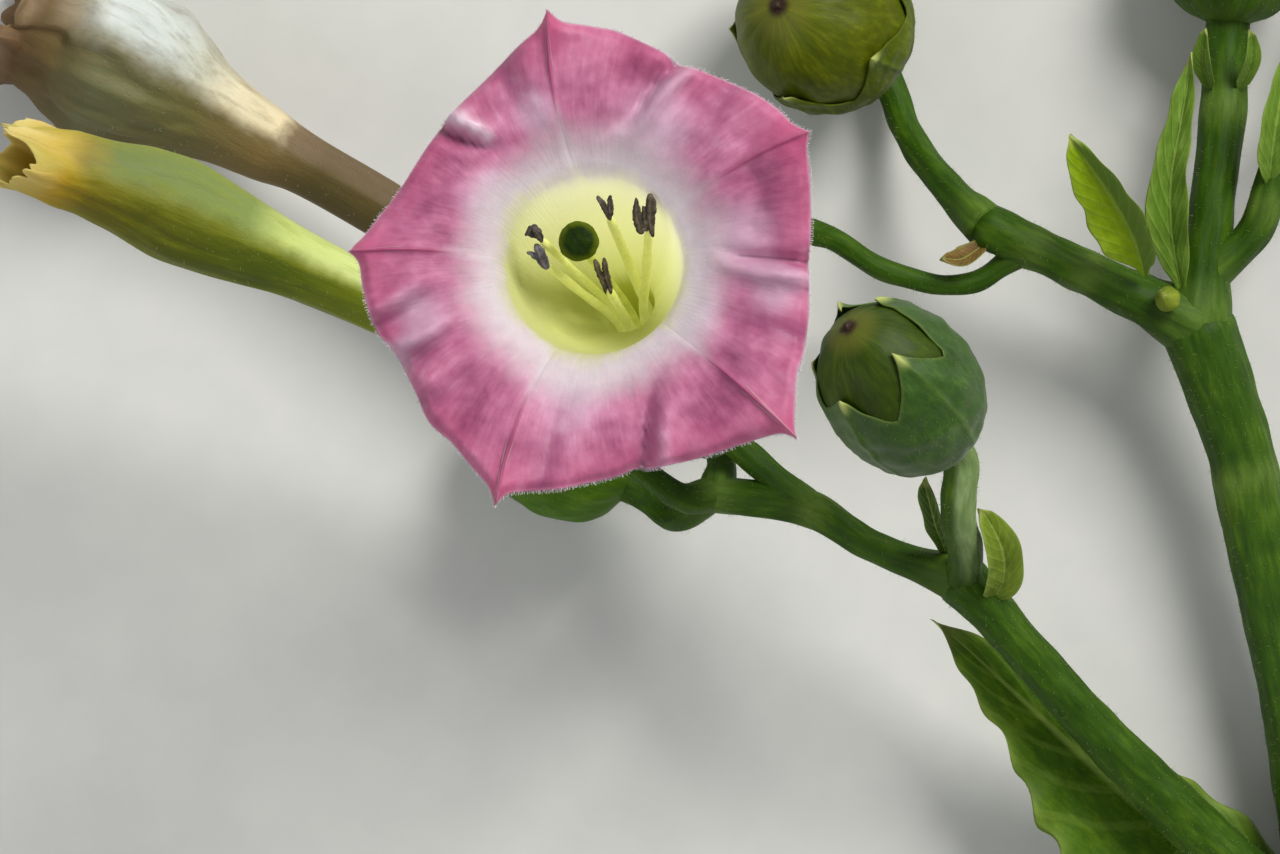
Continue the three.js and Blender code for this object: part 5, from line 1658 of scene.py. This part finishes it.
# Short hairs all over the green and faded pieces: their slot, lengths, and colours at the root
# and the tip.
downs = {
    "stemHairs": dict(slot="stem", lengths=(0.2, 0.5), root=(110, 136, 50), tip=(170, 186, 122)),
    "calyxHairs": dict(slot="calyx", lengths=(0.15, 0.38), root=(104, 134, 56), tip=(168, 186, 130)),
    "bractHairs": dict(slot="bract", lengths=(0.15, 0.38), root=(128, 156, 60), tip=(182, 200, 130)),
    "fadedPaleHairs": dict(
        slot="petal_faded_pale", lengths=(0.15, 0.35), root=(186, 174, 146), tip=(214, 206, 186)
    ),
    "fadedGreenHairs": dict(
        slot="petal_faded_green", lengths=(0.15, 0.35), root=(160, 174, 92), tip=(198, 208, 140)
    ),
}


def downyHairs(name, hairs, rng):
    # Roots scattered over grids, each as (grid, hairs to a square millimetre, rows seen), and
    # ways that lean at random from the grid's normals.
    down = downs[name]
    shape = Shape()
    for grid, dense, seen in hairs:
        normals = gridNormals(grid)
        inside = grid.mean(1, keepdims=True)
        normals *= np.sign(((grid - inside) * normals).sum(-1).mean())
        roots, ways = scatter(grid, normals, dense, rng, seen)
        ways = ways + rng.normal(0, 0.35, ways.shape)
        lengths = rng.uniform(*down["lengths"], len(roots))
        addHairs(shape, roots - ways * 0.03, ways, lengths, 0.012, rng)
    shape.make(name, [hairFinish(name, down["root"], down["tip"])])


# The camera's height, lens and sensor in millimetres, and its lights: place in millimetres from
# the open flower's mouth, power in watts, size in metres, and colour. floor is half its side in
# metres.
view = {
    "height": 500,
    "lens": 198,
    "sensor": 36,
    "lights": {
        "keyLight": ((300, 360, 420), 4.2, 0.28, (1, 0.98, 0.94)),
        "fillLight": ((-420, -260, 420), 1.1, 0.5, (0.96, 0.98, 1)),
    },
    "sky": (0.97, 0.98, 1, 1),
    "skyStrength": 0.34,
    "floor": 2.5,
}


def studio():
    # The camera looks straight down, as the photo's frame is placed. A pale floor, a soft key
    # light at the upper right and a weaker one opposite.
    scene = bpy.context.scene
    scene.view_settings.view_transform = "Standard"
    lens = bpy.data.cameras.new("camera")
    lens.lens, lens.sensor_width, lens.clip_start = view["lens"], view["sensor"], 0.01
    camera = bpy.data.objects.new("camera", lens)
    camera.location = (np.array([0, 0, view["height"]]) + shift) * mm
    scene.collection.objects.link(camera)
    scene.camera = camera
    for name, (place, power, size, warmth) in view["lights"].items():
        light = bpy.data.lights.new(name, "AREA")
        light.energy, light.size, light.color = power, size, warmth
        lamp = bpy.data.objects.new(name, light)
        lamp.location = (np.array(openFlower["mouth"]) + place + shift) * mm
        lamp.rotation_euler = Vector(place).to_track_quat("Z", "Y").to_euler()
        scene.collection.objects.link(lamp)
    world = bpy.data.worlds.new("studio")
    world.use_nodes = True
    sky = world.node_tree.nodes["Background"].inputs
    sky["Color"].default_value = view["sky"]
    sky["Strength"].default_value = view["skyStrength"]
    scene.world = world
    mesh = bpy.data.meshes.new("floor")
    half = view["floor"]
    corners = [(-half, -half, 0), (half, -half, 0), (half, half, 0), (-half, half, 0)]
    mesh.from_pydata(corners, [], [(0, 1, 2, 3)])
    floor = bpy.data.objects.new("floor", mesh)
    look = Finish("paleFloor", Roughness=0.8, Specular_IOR_Level=0.2)
    paper = look.noise(look.place(), 260.0, 3)
    look.feed("Base Color", look.mix(paper, (206, 207, 203), (217, 217, 213)))
    mesh.materials.append(look.material)
    scene.collection.objects.link(floor)


inner, out = openPetals()
petalHairs(inner, out)
stamenSkins()
pistilSkin()
stemHairs, calyxHairs, bractHairs, paleHairs = [], [], [], []
stemSkins(stemHairs)
fruitSkins(calyxHairs)
bractSkins(bractHairs)
fadedSkins(paleHairs)
rng = np.random.default_rng(5)
downyHairs("stemHairs", stemHairs, rng)
downyHairs("calyxHairs", calyxHairs, rng)
downyHairs("bractHairs", bractHairs, rng)
downyHairs("fadedPaleHairs", paleHairs[:1], rng)
downyHairs("fadedGreenHairs", paleHairs[1:], rng)
print("hairs made")
studio()
